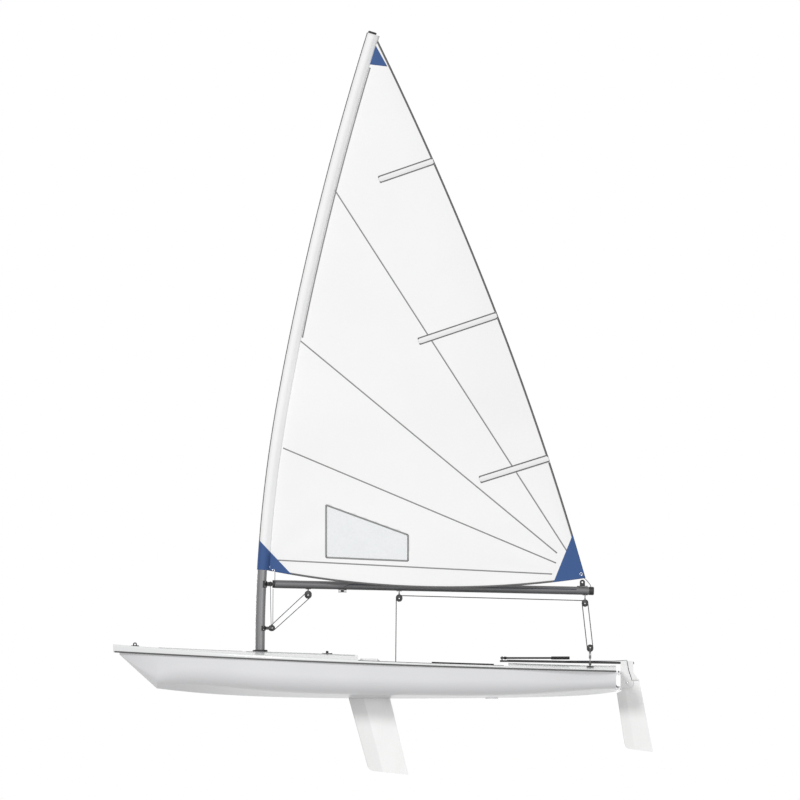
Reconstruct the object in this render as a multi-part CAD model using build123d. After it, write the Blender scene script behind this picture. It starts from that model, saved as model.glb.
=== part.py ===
from build123d import *
import os
from math import asin, cos, degrees, hypot, radians, sin, tan

# A single-handed sailing dinghy afloat, with its sail hoisted and its foils down.
# Lengths are in millimetres. X runs from the bow to the stern, +Y to starboard and +Z up.
# The origin is on the centreline, half way along the hull, at the waterline.

# Fits: clearance of a joint, of a seated piece, of a running part, and how deep a deck fitting is sunk
joint_gap = 0.5
seat_gap = 0.3
running_gap = 1.2
sink = 8

# Limits of the blocks that cut the lofted forms
beam_limit = 900
top_limit = 600
low_limit = -300
trim_allowance = 30

# Hull and deck
hull_length = 4200
transom_x = hull_length / 2
bow_x = -hull_length / 2
sheer_bow_z = 298
sheer_mid_z = 198
sheer_stern_z = 134
camber_radius = 5600
deck_corner = 14
deck_corner_bulge = deck_corner * (1 - cos(radians(45)))
side_deck_rise = 28
foredeck_end_x = -54
aft_deck_x = 1200
wall = 8

# Hull sections: place as a share of half the length, keel height, deadrise and flare in degrees,
# bilge radius, half beam at the sheer
hull_sections = [
    (-0.9743, 279, 12, 50, 8, 30),
    (-0.9048, 146, 25, 36, 60, 140),
    (-0.8262, -3, 27, 27, 190, 243),
    (-0.7619, -19, 23, 25, 230, 313),
    (-0.6190, -47, 16, 24, 260, 440),
    (-0.3810, -73, 8, 25, 270, 580),
    (-0.0952, -85, 4.5, 26, 260, 658),
    (0.2857, -87, 3, 27, 240, 683),
    (0.6190, -79, 3, 28, 220, 643),
    (1.0, -29, 3, 28, 160, 540),
]

# The bow is lofted forward of this section, and the rest of the hull aft of it
forefoot_section = 2

# Deck sections: place as a share of half the length, half width, height of the crown on the centreline
deck_sections = [
    (-1.0, 22, 366),
    (-0.9524, 95, 357),
    (-0.8571, 225, 344),
    (-0.6905, 400, 327),
    (-0.4524, 560, 308),
    (-0.1429, 665, 286),
    (0.2381, 695, 246),
    (0.6190, 655, 206),
    (1.0, 552, 188),
]

# Cockpit well, with a console round the daggerboard slot at its front
well_front_x = -20
well_aft_x = 1160
well_half = 300
well_corner = 90
well_floor_z = 12
well_floor_round = 24
console_aft_x = 190
console_half = 95

# Self-bailer in the bottom, drain plug in the transom
bailer_x = 1060
bailer_size = (110, 60, 9)
bailer_low_z = -90
bailer_ramp = 7
bailer_mouth = (34, 40, 5)
plug_y = 90
plug_z = 6
plug_radius = 20
plug_thickness = 5
plug_grip_radius = 10
plug_grip_height = 8

# Bow eye
eye_setback = 183
eye_x = bow_x + eye_setback
eye_foot = (66, 30, 5)
eye_radius = 17
eye_hole_radius = 7
eye_thickness = 12
eye_top_z = 381

# Deck cleats: a base each side, with two toothed cams that turn on posts
cleat_x = -313
cleat_y = 38
cleat_base = (88, 64, 5)
cleat_corner = 8
cam_spread = 15
cam_height = 16
cam_radius = 14
cam_growth = 4
cam_teeth = 6
cam_tooth_depth = 1.6
cam_sweep = 84
cam_cap_radius = 8
cam_cap_height = 3

# Grab rails and toe strap
rail_front_x = 560
rail_aft_x = 1080
rail_y = 322
rail_width = 26
rail_height = 14
strap_points = ((335, seat_gap), (470, 90), (800, 78), (1120, 96), (well_aft_x - seat_gap, 96))
strap_half = 25
strap_thickness = 4

# Mast, straight through the deck and then bent aft in two arcs
mast_x = -873
mast_foot_z = -30
mast_straight_z = 317
mast_bend_radii = (11800, 25300)
mast_bend_angles = (radians(10.2), radians(17.33))
mast_lower_radius = 40
mast_upper_radius = 32
mast_wall = 2.5
mast_joint_length = 70
step_ring_width = 22
step_ring_height = 14
step_ring_chamfer = 5
cap_radius = 37
cap_height = 18
cap_chamfer = 5

# Sail
sleeve_thickness = 2
sleeve_foot_z = 985
sleeve_radius = mast_lower_radius + joint_gap + sleeve_thickness
luff_overlap = 5
sail_thickness = 2
tack_point = (-906, 1002)
foot_low_point = (547, 835)
clew_point = (1845, 918)
head_point = (93, 5444)
leech_bulge = 109
camber_share = 0.065
sail_section_heights = (780, 1500, 2400, 3300, 4200, 5000, 5400)

# Batten pockets: name, aft upper corner, length, height, fall to the front in degrees
battens = [
    ("top", (564, 4430), 480, 62, 19),
    ("middle", (1095, 3142), 690, 62, 18.5),
    ("lower", (1545, 1950), 620, 62, 17),
]

# Corner patches: name and the corners of each outline
corner_patches = [
    ("head", ((-20, 5215), (190, 5190), (60, 5400))),
    ("tack", ((-900, 1250), (-905, 900), (-560, 900))),
    ("clew", ((1720, 1290), (2000, 850), (1560, 850))),
]
window_corners = ((-321, 1528), (363, 1278), (363, 1061), (-321, 1090))

# Boom, with its cap, outhaul lug and cleat
boom_front = (-745, 868)
boom_end = (1874, 811)
boom_radius = 34
boom_wall = 2.5
end_cap_length = 42
end_cap_rim = 1
end_cap_chamfer = 7
outhaul_offset = 55
outhaul_foot = (90, 22, 6)
outhaul_lug_width = 44
outhaul_lug_thickness = 8
outhaul_lug_rise = 36
outhaul_hole_radius = 7
boom_cleat_offset = 560
boom_cleat_base = (70, 24, 6)
boom_cleat_horn = (70, 12, 7)
boom_cleat_neck = (26, 12, 9)

# Gooseneck and vang tang: saddles on the mast's aft side
saddle_thickness = 6
saddle_front_offset = 12
gooseneck_height = 56
gooseneck_lug_gap = 22
gooseneck_lug_thickness = 7
gooseneck_lug_width = 30
gooseneck_pin_radius = 5
gooseneck_pin_offset = 74
gooseneck_eye_radius = 13
gooseneck_plug_length = 24
vang_tang_height = 40
vang_tongue_thickness = 10
vang_tongue_height = 26

# Blocks: x, height of the sheave's centre, sheave radius
mid_block = (289, 748, 24)
aft_block = (1841, 706, 24)
vang_boom_block = (-471, 776, 26)
vang_mast_block = (-772, 500, 22)
ratchet_block = (291, 88, 32)
sheave_width = 11
sheave_groove = 4
cheek_thickness = 3
cheek_margin = 4
cheek_shoulder_share = 0.7
block_pin_radius = 5
block_pin_proud = 1.5
block_neck_width = 14
ratchet_neck_width = 30
block_half = sheave_width / 2 + cheek_thickness

# Traveller across the aft deck, with the lower sheet block standing on it
traveller_setback = 217
traveller_x = transom_x - traveller_setback
traveller_apex_z = 273
fairlead_y = 420
fairlead_rope_z = 202
rope_radius = 4
rope_tail = 20
rope_hole_gap = 1.5
fairlead_foot = (60, 26, 6)
fairlead_corner = 10
fairlead_stem_thickness = 10
fairlead_hoop_radius = 12
fairlead_hoop_thickness = 14
traveller_sheave_z = 256
traveller_sheave_radius = 12.5
traveller_link_width = 12
lower_block = (traveller_x, 336, 24)

# Daggerboard: edges in side view, foil thickness
board_rake = 15.5
board_lead = (-129, -100)
board_trail = (217, -100)
board_tip_lead = (34.5, -689)
board_tip_trail = (367, -726)
board_tip_round = 60
board_top_z = 236
board_thickness = 30
board_gap = 5
stop_front_x = -34
stop_aft_x = 112
stop_low_z = 215
stop_cap = 10
stop_half = 46
stop_corner = 14

# Foil sections, as shares of the chord and of the thickness
foil_full_share = 0.36
foil_nose_share = 0.025
foil_nose_height_share = 0.3
foil_shoulder_share = 0.74
foil_tail = 4

# Rudder hung on two pintles behind the transom
pintle_offset = 25
pintle_x = transom_x + pintle_offset
pintle_radius = 5
pintle_length = 30
pintle_drop = 7
pintle_arm_height = 14
pintle_collar_radius = 10
gudgeon_heights = (-8, 120)
gudgeon_plate = (5, 46, 34)
gudgeon_tongue_width = 22
gudgeon_tongue_height = 16
head_front_offset = 13
head_aft_offset = 119
head_front_x = pintle_x + head_front_offset
head_aft_x = pintle_x + head_aft_offset
head_low_z = -20
head_top_z = 226
head_round = 12
cheek_inner = 15
cheek_outer = 19
socket_low_z = 188
pivot_offset = 67
pivot_x = pintle_x + pivot_offset
pivot_z = 45
pivot_pin_radius = 6
pivot_head_radius = 12
pivot_head_height = 3

# Rudder blade: its two straight edges, as x behind the pintles at two heights, and its outline
blade_thickness = 18
blade_head_thickness = 20
blade_top_z = 75
blade_tip_z = -536
blade_lead = (-36.4, 54.4)
blade_trail = (166, 284)
blade_head_radius = 48
blade_front = 19
blade_shoulder = (-19, -42)
blade_notch_z = -24
blade_tip_lead = (49, -503)
blade_tip_round = 45

# Tiller and its extension
tiller_height = 20
tiller_width = 32
tiller_round = 6
tiller_aft_reach = 125
tiller_fore_reach = 935
tiller_aft = (pintle_x + tiller_aft_reach, 209)
tiller_fore = (pintle_x - tiller_fore_reach, 227)
extension_pivot_reach = 977
extension_pivot = (pintle_x - extension_pivot_reach, 251)
extension_radius = 8
extension_length = 560
extension_wall = 1.5
extension_collar_radius = 14
grip_length = 150
grip_radius = 13
grip_end = 5
grip_chamfer = 3
joint_pin_radius = 5
joint_pin_height = 30
joint_base_reach = 18
joint_base_width = 26
joint_base_height = 16
joint_base_drop = 10
joint_base_round = 5


def station_x(share):
    return share * hull_length / 2


def sheer_z(x, rise=0):
    slope = (sheer_stern_z - sheer_bow_z) / hull_length
    sag = (sheer_stern_z + sheer_bow_z) / 2 - sheer_mid_z
    return sheer_mid_z + rise + slope * x + sag * (x / transom_x) ** 2


# Drawing in side view, and slabs across the boat
def side_face(*edges):
    return Plane.XZ * make_face(Curve() + list(edges))


def side_polygon(points):
    return Plane.XZ * make_face(Polyline(*points, close=True))


def slab(face, low_y, high_y):
    return extrude(Pos(0, low_y, 0) * face, amount=high_y - low_y, dir=(0, 1, 0))


def centred_slab(face, half_width):
    return slab(face, -half_width, half_width)


def cross_pin(x, z, radius, half_width):
    return Pos(x, 0, z) * Rot(90, 0, 0) * Cylinder(radius, 2 * half_width)


# Everything between two lengths, from the raised sheer up or down to a limit
def sheer_slab(front_x, aft_x, rise, limit_z):
    middle_x = (front_x + aft_x) / 2
    front, middle, aft = [(x, sheer_z(x, rise)) for x in (front_x, middle_x, aft_x)]
    rim = Polyline(aft, (aft_x, limit_z), (front_x, limit_z), front)
    return centred_slab(side_face(ThreePointArc(front, middle, aft), rim), beam_limit)


def below_sheer(front_x, aft_x, rise):
    return sheer_slab(front_x, aft_x, rise, low_limit)


def above_sheer(front_x, aft_x, rise):
    return sheer_slab(front_x, aft_x, rise, top_limit)


def mirrored(points):
    return [(-y, z) for y, z in reversed(points)]


# One hull section: floor line, bilge arc and topside line, on both sides
def hull_section(share, keel_z, deadrise, flare, bilge_radius, half_beam):
    x = station_x(share)
    rise = tan(radians(deadrise))
    lean = tan(radians(flare))
    rim_z = sheer_z(x)
    corner_y = (half_beam - (rim_z - keel_z) * lean) / (1 - rise * lean)
    corner_z = keel_z + corner_y * rise
    floor_dir = (cos(radians(deadrise)), sin(radians(deadrise)))
    side_dir = (sin(radians(flare)), cos(radians(flare)))
    cut = bilge_radius * tan(radians(90 - flare - deadrise) / 2)
    floor_end = (corner_y - cut * floor_dir[0], corner_z - cut * floor_dir[1])
    side_start = (corner_y + cut * side_dir[0], corner_z + cut * side_dir[1])
    centre = (floor_end[0] - bilge_radius * floor_dir[1], floor_end[1] + bilge_radius * floor_dir[0])
    reach = hypot(corner_y - centre[0], corner_z - centre[1])
    middle = (centre[0] + bilge_radius * (corner_y - centre[0]) / reach,
              centre[1] + bilge_radius * (corner_z - centre[1]) / reach)
    rim = (half_beam + trim_allowance * lean, rim_z + trim_allowance)
    keel = (0, keel_z)
    left = mirrored([floor_end, middle, side_start])
    edges = [Line(keel, floor_end), ThreePointArc(floor_end, middle, side_start), Line(side_start, rim),
             Line(rim, (-rim[0], rim[1])), Line((-rim[0], rim[1]), left[0]), ThreePointArc(*left),
             Line(left[2], keel)]
    return Pos(x, 0, 0) * (Plane.YZ * make_face(Curve() + edges))


def deck_section(share, half_width, crown_z):
    x = station_x(share)
    edge_z = crown_z - half_width ** 2 / (2 * camber_radius)
    base_z = sheer_z(x) - trim_allowance
    inner_y = half_width - deck_corner
    inner_z = crown_z - inner_y ** 2 / (2 * camber_radius)
    side = [(half_width, edge_z - deck_corner),
            (half_width - deck_corner_bulge, edge_z - deck_corner_bulge),
            (inner_y, inner_z)]
    other = mirrored(side)
    edges = [Line((-half_width, base_z), (half_width, base_z)), Line((half_width, base_z), side[0]),
             ThreePointArc(*side), ThreePointArc(side[2], (0, crown_z), other[0]), ThreePointArc(*other),
             Line(other[2], (-half_width, base_z))]
    return Pos(x, 0, 0) * (Plane.YZ * make_face(Curve() + edges))


def well_plan(margin):
    length = well_aft_x - well_front_x + 2 * margin
    middle_x = (well_aft_x + well_front_x) / 2
    well = Pos(middle_x, 0) * RectangleRounded(length, 2 * (well_half + margin), well_corner + margin)
    console_length = 2 * (console_aft_x - well_front_x)
    console = RectangleRounded(console_length, 2 * (console_half - margin), console_half / 2)
    return well - Pos(console_aft_x - margin - console_length / 2, 0) * console


def well_block(margin, low_z):
    return extrude(Pos(0, 0, low_z) * well_plan(margin), amount=top_limit - low_z)


def well_space():
    block = well_block(0, well_floor_z)
    return fillet(block.faces().sort_by(Axis.Z)[0].edges(), well_floor_round)


# Position along a straight raked edge at a given height
def edge_x(start, end, z):
    return start[0] + (end[0] - start[0]) * (z - start[1]) / (end[1] - start[1])


# Position along the daggerboard's raked lines at a given height
def raked_x(point, z):
    return point[0] - (z - point[1]) * tan(radians(board_rake))


def board_slot():
    gap_x = board_gap / cos(radians(board_rake))
    corners = [(raked_x(board_lead, z) - gap_x, z) for z in (low_limit, top_limit)]
    corners += [(raked_x(board_trail, z) + gap_x, z) for z in (top_limit, low_limit)]
    return centred_slab(side_polygon(corners), board_thickness / 2 + board_gap)


def mast_bore():
    depth = top_limit - mast_foot_z
    bore = Cylinder(mast_lower_radius + running_gap, depth, align=(Align.CENTER, Align.CENTER, Align.MIN))
    return Pos(mast_x, 0, mast_foot_z - joint_gap) * bore


def bailer_block(margin):
    length, width, depth = [side + 2 * margin for side in bailer_size]
    return Pos(bailer_x, 0, bailer_low_z + bailer_size[2] / 2) * Box(length, width, depth)


def make_hull_shell():
    sections = [hull_section(*row) for row in hull_sections]
    body = loft(sections[:forefoot_section + 1]) + loft(sections[forefoot_section:])
    body = body & below_sheer(bow_x, transom_x, 0)
    well = well_block(wall + joint_gap, well_floor_z - wall - joint_gap)
    return body - well - board_slot() - mast_bore() - bailer_block(seat_gap)


def make_deck_moulding():
    body = loft([deck_section(*row) for row in deck_sections])
    body = body & above_sheer(bow_x, transom_x, joint_gap)
    body = body + (well_block(wall, well_floor_z - wall) - above_sheer(bow_x, transom_x, side_deck_rise))
    body = body - above_sheer(foredeck_end_x, aft_deck_x, side_deck_rise)
    return body - well_space() - board_slot() - mast_bore()


# A wedge that scoops aft, with its mouth at the back
def make_self_bailer():
    body = bailer_block(0)
    front = body.faces().sort_by(Axis.X)[0].edges().sort_by(Axis.Z)[0]
    mouth_x = bailer_x + (bailer_size[0] - bailer_mouth[0]) / 2
    mouth = Pos(mouth_x, 0, bailer_low_z + bailer_mouth[2] / 2) * Box(*bailer_mouth)
    return chamfer(front, bailer_ramp) - mouth


def make_drain_plug():
    base_x = transom_x + seat_gap
    turn = Pos(base_x, plug_y, plug_z) * Rot(0, 90, 0)
    disc = extrude(Circle(plug_radius), amount=plug_thickness)
    grip = extrude(RegularPolygon(plug_grip_radius, 6), amount=plug_thickness + plug_grip_height)
    return turn * (disc + grip)


def crown_z(x):
    rows = [(station_x(share), crown) for share, half_width, crown in deck_sections]
    for row, following in zip(rows, rows[1:]):
        if row[0] <= x <= following[0]:
            share = (x - row[0]) / (following[0] - row[0])
            return row[1] + share * (following[1] - row[1])


def deck_z(x, y):
    return crown_z(x) - y ** 2 / (2 * camber_radius)


# Deck fittings are sunk a little, and cut off where the deck's surface runs
def deck_foot(x, y, size, corner):
    face = Pos(x, y, deck_z(x, y) - sink) * RectangleRounded(size[0], size[1], corner)
    return extrude(face, amount=size[2] + sink)


def make_mast_step_ring(deck):
    outer = mast_lower_radius + running_gap + step_ring_width
    height = step_ring_height + sink
    ring = Cylinder(outer, height)
    ring = chamfer(ring.faces().sort_by(Axis.Z)[-1].edges(), step_ring_chamfer)
    ring = ring - Cylinder(mast_lower_radius + running_gap, height)
    return Pos(mast_x, 0, crown_z(mast_x) - sink + height / 2) * ring - deck


# Bow eye: a hoop on a foot, with its hole across the boat
def make_bow_eye(deck):
    centre_z = eye_top_z - eye_radius
    foot = deck_foot(eye_x, 0, eye_foot, eye_foot[1] / 3)
    hoop = cross_pin(eye_x, centre_z, eye_radius, eye_thickness / 2)
    hole = cross_pin(eye_x, centre_z, eye_hole_radius, eye_foot[1])
    return foot + hoop - hole - deck


# A cam's outline: a circle round its post, and a toothed face that grows away from it
def cam_outline(side):
    points = [(0, 0)]
    for step in range(2 * cam_teeth + 1):
        share = step / (2 * cam_teeth)
        radius = cam_radius + cam_growth * share - (cam_tooth_depth if step % 2 else 0)
        angle = radians(cam_sweep * (share - 1 / 2))
        points.append((radius * sin(angle), -side * radius * cos(angle)))
    return make_face(Polyline(*points, close=True)) + Circle(cam_radius - cam_growth)


def make_deck_cleats(deck):
    bases = []
    for port in (-1, 1):
        y = port * cleat_y
        top_z = deck_z(cleat_x, y) + cleat_base[2]
        base = deck_foot(cleat_x, y, cleat_base, cleat_corner)
        for side in (-1, 1):
            place = Pos(cleat_x, y + side * cam_spread, top_z)
            base += place * extrude(cam_outline(side), amount=cam_height)
            base += place * extrude(Circle(cam_cap_radius), amount=cam_height + cam_cap_height)
        bases.append(base - deck)
    return Compound(bases)


def make_grab_rails():
    band = above_sheer(rail_front_x, rail_aft_x, side_deck_rise + seat_gap)
    band = band - above_sheer(bow_x, transom_x, side_deck_rise + rail_height)
    length = rail_aft_x - rail_front_x
    rails = []
    for side in (-1, 1):
        plan = Pos((rail_front_x + rail_aft_x) / 2, side * rail_y) * SlotOverall(length, rail_width)
        rails.append(band & extrude(plan, amount=top_limit))
    return Compound(rails)


def make_toe_strap():
    top = [(x, well_floor_z + z + strap_thickness) for x, z in strap_points]
    low = [(x, well_floor_z + z) for x, z in reversed(strap_points)]
    return centred_slab(side_polygon(top + low), strap_half)


# A grooved sheave, lying flat, of a given radius
def sheave(radius):
    half = Pos(0, 0, sheave_width / 4) * Cone(radius - sheave_groove, radius, sheave_width / 2)
    return half + mirror(half, Plane.XY)


# A rope block with its pin across the boat, and a neck of a given length up or down
def rope_block(place, neck, neck_width=block_neck_width):
    x, z, radius = place
    reach = radius + cheek_margin
    shoulder = 2 * reach * cheek_shoulder_share
    up = 1 if neck > 0 else -1
    outline = Circle(reach) + Pos(0, up * reach / 2) * Rectangle(shoulder, reach)
    face = Plane.XZ * (Pos(x, z) * outline)
    inner = sheave_width / 2
    body = slab(face, inner, block_half) + slab(face, -block_half, -inner)
    body += Pos(x, 0, z) * Rot(90, 0, 0) * sheave(radius)
    body += cross_pin(x, z, block_pin_radius, block_half + block_pin_proud)
    if abs(neck) > reach:
        length = abs(neck) - radius
        middle_z = z + up * (radius + length / 2)
        body += Pos(x, 0, middle_z) * Box(neck_width, 2 * block_half, length)
    return body


def boom_z(x):
    share = (x - boom_front[0]) / (boom_end[0] - boom_front[0])
    return boom_front[1] + share * (boom_end[1] - boom_front[1])


def boom_block(place):
    neck = boom_z(place[0]) - boom_radius - place[1] - joint_gap
    return rope_block(place, neck)


def make_ratchet_block():
    neck = well_floor_z + seat_gap - ratchet_block[1]
    return rope_block(ratchet_block, neck, ratchet_neck_width)


def make_gudgeons():
    base_x = transom_x + seat_gap
    reach = pintle_x - base_x
    pieces = []
    for z in gudgeon_heights:
        plate = Pos(base_x + gudgeon_plate[0] / 2, 0, z) * Box(*gudgeon_plate)
        tongue = Pos(base_x + reach / 2, 0, z) * Box(reach, gudgeon_tongue_width, gudgeon_tongue_height)
        tongue += Pos(pintle_x, 0, z) * Cylinder(gudgeon_tongue_width / 2, gudgeon_tongue_height)
        hole = Pos(pintle_x, 0, z) * Cylinder(pintle_radius + seat_gap, 2 * gudgeon_tongue_height)
        pieces.append(plate + tongue - hole)
    return Compound(pieces)


def make_traveller_fairleads(deck):
    pieces = []
    for side in (-1, 1):
        y = side * fairlead_y
        low_z = deck_z(traveller_x, y) - sink
        post = fairlead_rope_z - low_z
        foot = deck_foot(traveller_x, y, fairlead_foot, fairlead_corner)
        stem = Box(fairlead_hoop_radius, fairlead_stem_thickness, post)
        stem = Pos(traveller_x, y, low_z + post / 2) * stem
        turn = Pos(traveller_x, y, fairlead_rope_z) * Rot(90, 0, 0)
        hoop = turn * Cylinder(fairlead_hoop_radius, fairlead_hoop_thickness)
        hole = turn * Cylinder(rope_radius + rope_hole_gap, 3 * fairlead_hoop_thickness)
        pieces.append(foot + stem + hoop - hole - deck)
    return Compound(pieces)


def rope(points):
    path = Polyline(*points)
    start = Plane(origin=path @ 0, z_dir=path % 0)
    return sweep(start * Circle(rope_radius), path=path, transition=Transition.ROUND)


def make_traveller_line():
    half = [(traveller_x, fairlead_y + rope_tail, fairlead_rope_z),
            (traveller_x, fairlead_y, fairlead_rope_z)]
    other = [(x, -y, z) for x, y, z in reversed(half)]
    return rope(half + [(traveller_x, 0, traveller_apex_z)] + other)


# The traveller's sheave lies along the boat, and its cheeks run up past the rope as a link
def make_traveller_block():
    link_top = lower_block[1] - lower_block[2] - cheek_margin - seat_gap
    link_height = link_top - traveller_sheave_z
    turn = Pos(traveller_x, 0, traveller_sheave_z) * Rot(0, 90, 0)
    body = turn * Cylinder(traveller_sheave_radius, sheave_width)
    body += turn * Cylinder(block_pin_radius, 2 * (block_half + block_pin_proud))
    for side in (-1, 1):
        x = traveller_x + side * (sheave_width + cheek_thickness) / 2
        body += Pos(x, 0, traveller_sheave_z) * Rot(0, 90, 0) \
            * Cylinder(traveller_sheave_radius + cheek_margin, cheek_thickness)
        body += Pos(x, 0, traveller_sheave_z + link_height / 2) \
            * Box(cheek_thickness, traveller_link_width, link_height)
    bridge_z = traveller_apex_z + 2 * rope_radius
    bridge_height = link_top - bridge_z
    bridge = Box(sheave_width, traveller_link_width, bridge_height)
    return body + Pos(traveller_x, 0, bridge_z + bridge_height / 2) * bridge


def make_sheet_lower_block():
    return rope_block(lower_block, -block_half)


# Bent mast axis: place by the tangent's angle, and x by height
def mast_at_angle(angle):
    first = min(angle, mast_bend_angles[0])
    x = mast_x + mast_bend_radii[0] * (1 - cos(first))
    z = mast_straight_z + mast_bend_radii[0] * sin(first)
    if angle > first:
        x += mast_bend_radii[1] * (cos(first) - cos(angle))
        z += mast_bend_radii[1] * (sin(angle) - sin(first))
    return (x, 0, z)


def mast_angle(z):
    first = mast_bend_angles[0]
    first_z = mast_at_angle(first)[2]
    if z <= mast_straight_z:
        return 0
    if z <= first_z:
        return asin((z - mast_straight_z) / mast_bend_radii[0])
    return asin(sin(first) + (z - first_z) / mast_bend_radii[1])


def mast_arc(start_angle, end_angle):
    middle = (start_angle + end_angle) / 2
    return ThreePointArc(mast_at_angle(start_angle), mast_at_angle(middle), mast_at_angle(end_angle))


def mast_joint_arc():
    joint_angle = mast_bend_angles[0] - mast_joint_length / mast_bend_radii[0]
    return mast_arc(joint_angle, mast_bend_angles[0])


# A round tube swept along a path, hollow where an inner radius is given
def swept_tube(path, outer, inner):
    start = Plane(origin=path @ 0, z_dir=path % 0)
    ring = Circle(outer) - Circle(inner) if inner else Circle(outer)
    return sweep(start * ring, path=path)


def make_mast_lower():
    path = Line((mast_x, 0, mast_foot_z), (mast_x, 0, mast_straight_z)) + mast_arc(0, mast_bend_angles[0])
    return swept_tube(path, mast_lower_radius, mast_lower_radius - mast_wall)


# The upper tube stands in the lower one, held by a collar between them
def make_mast_upper():
    path = mast_joint_arc() + mast_arc(*mast_bend_angles)
    return swept_tube(path, mast_upper_radius, mast_upper_radius - mast_wall)


def make_mast_collar():
    outer = mast_lower_radius - mast_wall - seat_gap
    return swept_tube(mast_joint_arc(), outer, mast_upper_radius + seat_gap)


def make_mast_cap():
    angle = mast_bend_angles[1]
    top = Plane(origin=mast_at_angle(angle), z_dir=(sin(angle), 0, cos(angle)))
    cap = extrude(top.offset(seat_gap) * Circle(cap_radius), amount=cap_height)
    return chamfer(cap.faces().sort_by(Axis.Z)[-1].edges(), cap_chamfer)


def make_luff_sleeve():
    inner = mast_lower_radius + joint_gap
    low_angle = mast_angle(sleeve_foot_z)
    first = mast_bend_angles[0]
    path = mast_arc(low_angle, first) + mast_arc(first, mast_bend_angles[1])
    return swept_tube(path, inner + sleeve_thickness, inner)


def sleeve_space():
    path = mast_arc(0, mast_bend_angles[0]) + mast_arc(*mast_bend_angles)
    return swept_tube(path, sleeve_radius + seat_gap, 0)


def luff_x(z):
    return mast_at_angle(mast_angle(z))[0] + sleeve_radius / cos(mast_angle(z)) - luff_overlap


# The leech is an arc from the clew to the head, bulging aft
def leech_x(z):
    rise = head_point[1] - clew_point[1]
    run = head_point[0] - clew_point[0]
    share = (z - clew_point[1]) / rise
    chord_x = clew_point[0] + share * run
    return chord_x + 4 * share * (1 - share) * leech_bulge * hypot(rise, run) / rise


# A skin of the cambered sail, between two distances to port of its own surface
def sail_skin(near, far):
    sections = []
    for z in sail_section_heights:
        front, aft = luff_x(z), leech_x(z)
        middle = (front + aft) / 2
        depth = camber_share * (aft - front)
        near_arc = ThreePointArc((front, -near), (middle, -near - depth), (aft, -near))
        far_arc = ThreePointArc((front, -far), (middle, -far - depth), (aft, -far))
        ends = [Line((front, -near), (front, -far)), Line((aft, -near), (aft, -far))]
        sections.append(Pos(0, 0, z) * make_face(Curve() + [near_arc, far_arc] + ends))
    return loft(sections)


def above_foot():
    top_z = head_point[1] + trim_allowance
    left = (bow_x, tack_point[1])
    right = (transom_x, clew_point[1])
    foot = ThreePointArc(tack_point, foot_low_point, clew_point)
    rim = Polyline(clew_point, right, (right[0], top_z), (left[0], top_z), left, tack_point)
    return centred_slab(side_face(foot, rim), beam_limit)


def make_sail():
    return (sail_skin(-sail_thickness / 2, sail_thickness / 2) & above_foot()) - sleeve_space()


def outer_skin():
    near = sail_thickness / 2 + seat_gap
    return (sail_skin(near, near + sail_thickness) & above_foot()) - sleeve_space()


def make_batten_pockets(skin):
    pockets = []
    for name, corner, length, height, fall in battens:
        strip = Pos(-length / 2, -height / 2) * Rectangle(length, height)
        face = Plane.XZ * (Pos(*corner) * (Rot(0, 0, fall) * strip))
        pockets.append(skin & centred_slab(face, beam_limit))
    return Compound(pockets)


def make_corner_patches(skin):
    return Compound([skin & centred_slab(side_polygon(corners), beam_limit)
                     for name, corners in corner_patches])


def make_sail_window(skin):
    return skin & centred_slab(side_polygon(window_corners), beam_limit)


def boom_plane(x):
    run = boom_end[0] - boom_front[0]
    drop = boom_end[1] - boom_front[1]
    return Plane(origin=(x, 0, boom_z(x)), z_dir=(run, 0, drop))


def make_boom():
    length = hypot(boom_end[0] - boom_front[0], boom_end[1] - boom_front[1])
    start = boom_plane(boom_front[0])
    return extrude(start * (Circle(boom_radius) - Circle(boom_radius - boom_wall)), amount=length)


def make_boom_end_cap():
    start = boom_plane(boom_end[0] + seat_gap)
    cap = extrude(start * Circle(boom_radius + end_cap_rim), amount=end_cap_length)
    return chamfer(cap.faces().sort_by(Axis.X)[-1].edges(), end_cap_chamfer)


# A saddle on the mast's aft side: part of a collar, and the bore that clears the tube
def mast_saddle(z, height):
    tilt = Pos(*mast_at_angle(mast_angle(z))[:2], z) * Rot(0, degrees(mast_angle(z)), 0)
    collar = tilt * Cylinder(mast_lower_radius + seat_gap + saddle_thickness, height)
    reach = mast_lower_radius + 2 * saddle_thickness
    behind = tilt * (Pos(saddle_front_offset + reach / 2, 0, 0) * Box(reach, 2 * reach, 2 * height))
    bore = tilt * Cylinder(mast_lower_radius + seat_gap, 2 * height)
    return collar & behind, bore


# Two lugs hold a pin, and the boom's eye and plug turn on it
def make_gooseneck():
    x, z = boom_front
    saddle, bore = mast_saddle(z, gooseneck_height)
    centre_x = mast_at_angle(mast_angle(z))[0]
    pin_x = centre_x + gooseneck_pin_offset
    body = saddle
    for side in (-1, 1):
        lug_z = z + side * (gooseneck_lug_gap + gooseneck_lug_thickness) / 2
        lug = Box(pin_x - centre_x, gooseneck_lug_width, gooseneck_lug_thickness)
        body += Pos((centre_x + pin_x) / 2, 0, lug_z) * lug
        body += Pos(pin_x, 0, lug_z) * Cylinder(gooseneck_lug_width / 2, gooseneck_lug_thickness)
    pin_height = gooseneck_lug_gap + 3 * gooseneck_lug_thickness
    body += Pos(pin_x, 0, z) * Cylinder(gooseneck_pin_radius, pin_height)
    eye = Pos(pin_x, 0, z) * Cylinder(gooseneck_eye_radius, gooseneck_lug_gap)
    shank_end = x - gooseneck_plug_length / 2
    shank = Box(shank_end - pin_x, gooseneck_lug_gap, gooseneck_lug_gap)
    shank = Pos((pin_x + shank_end) / 2, 0, z) * shank
    plug_start = boom_plane(x - seat_gap - gooseneck_plug_length)
    plug = extrude(plug_start * Circle(boom_radius - boom_wall / 2), amount=gooseneck_plug_length)
    return body + eye + shank + plug - bore


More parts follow.
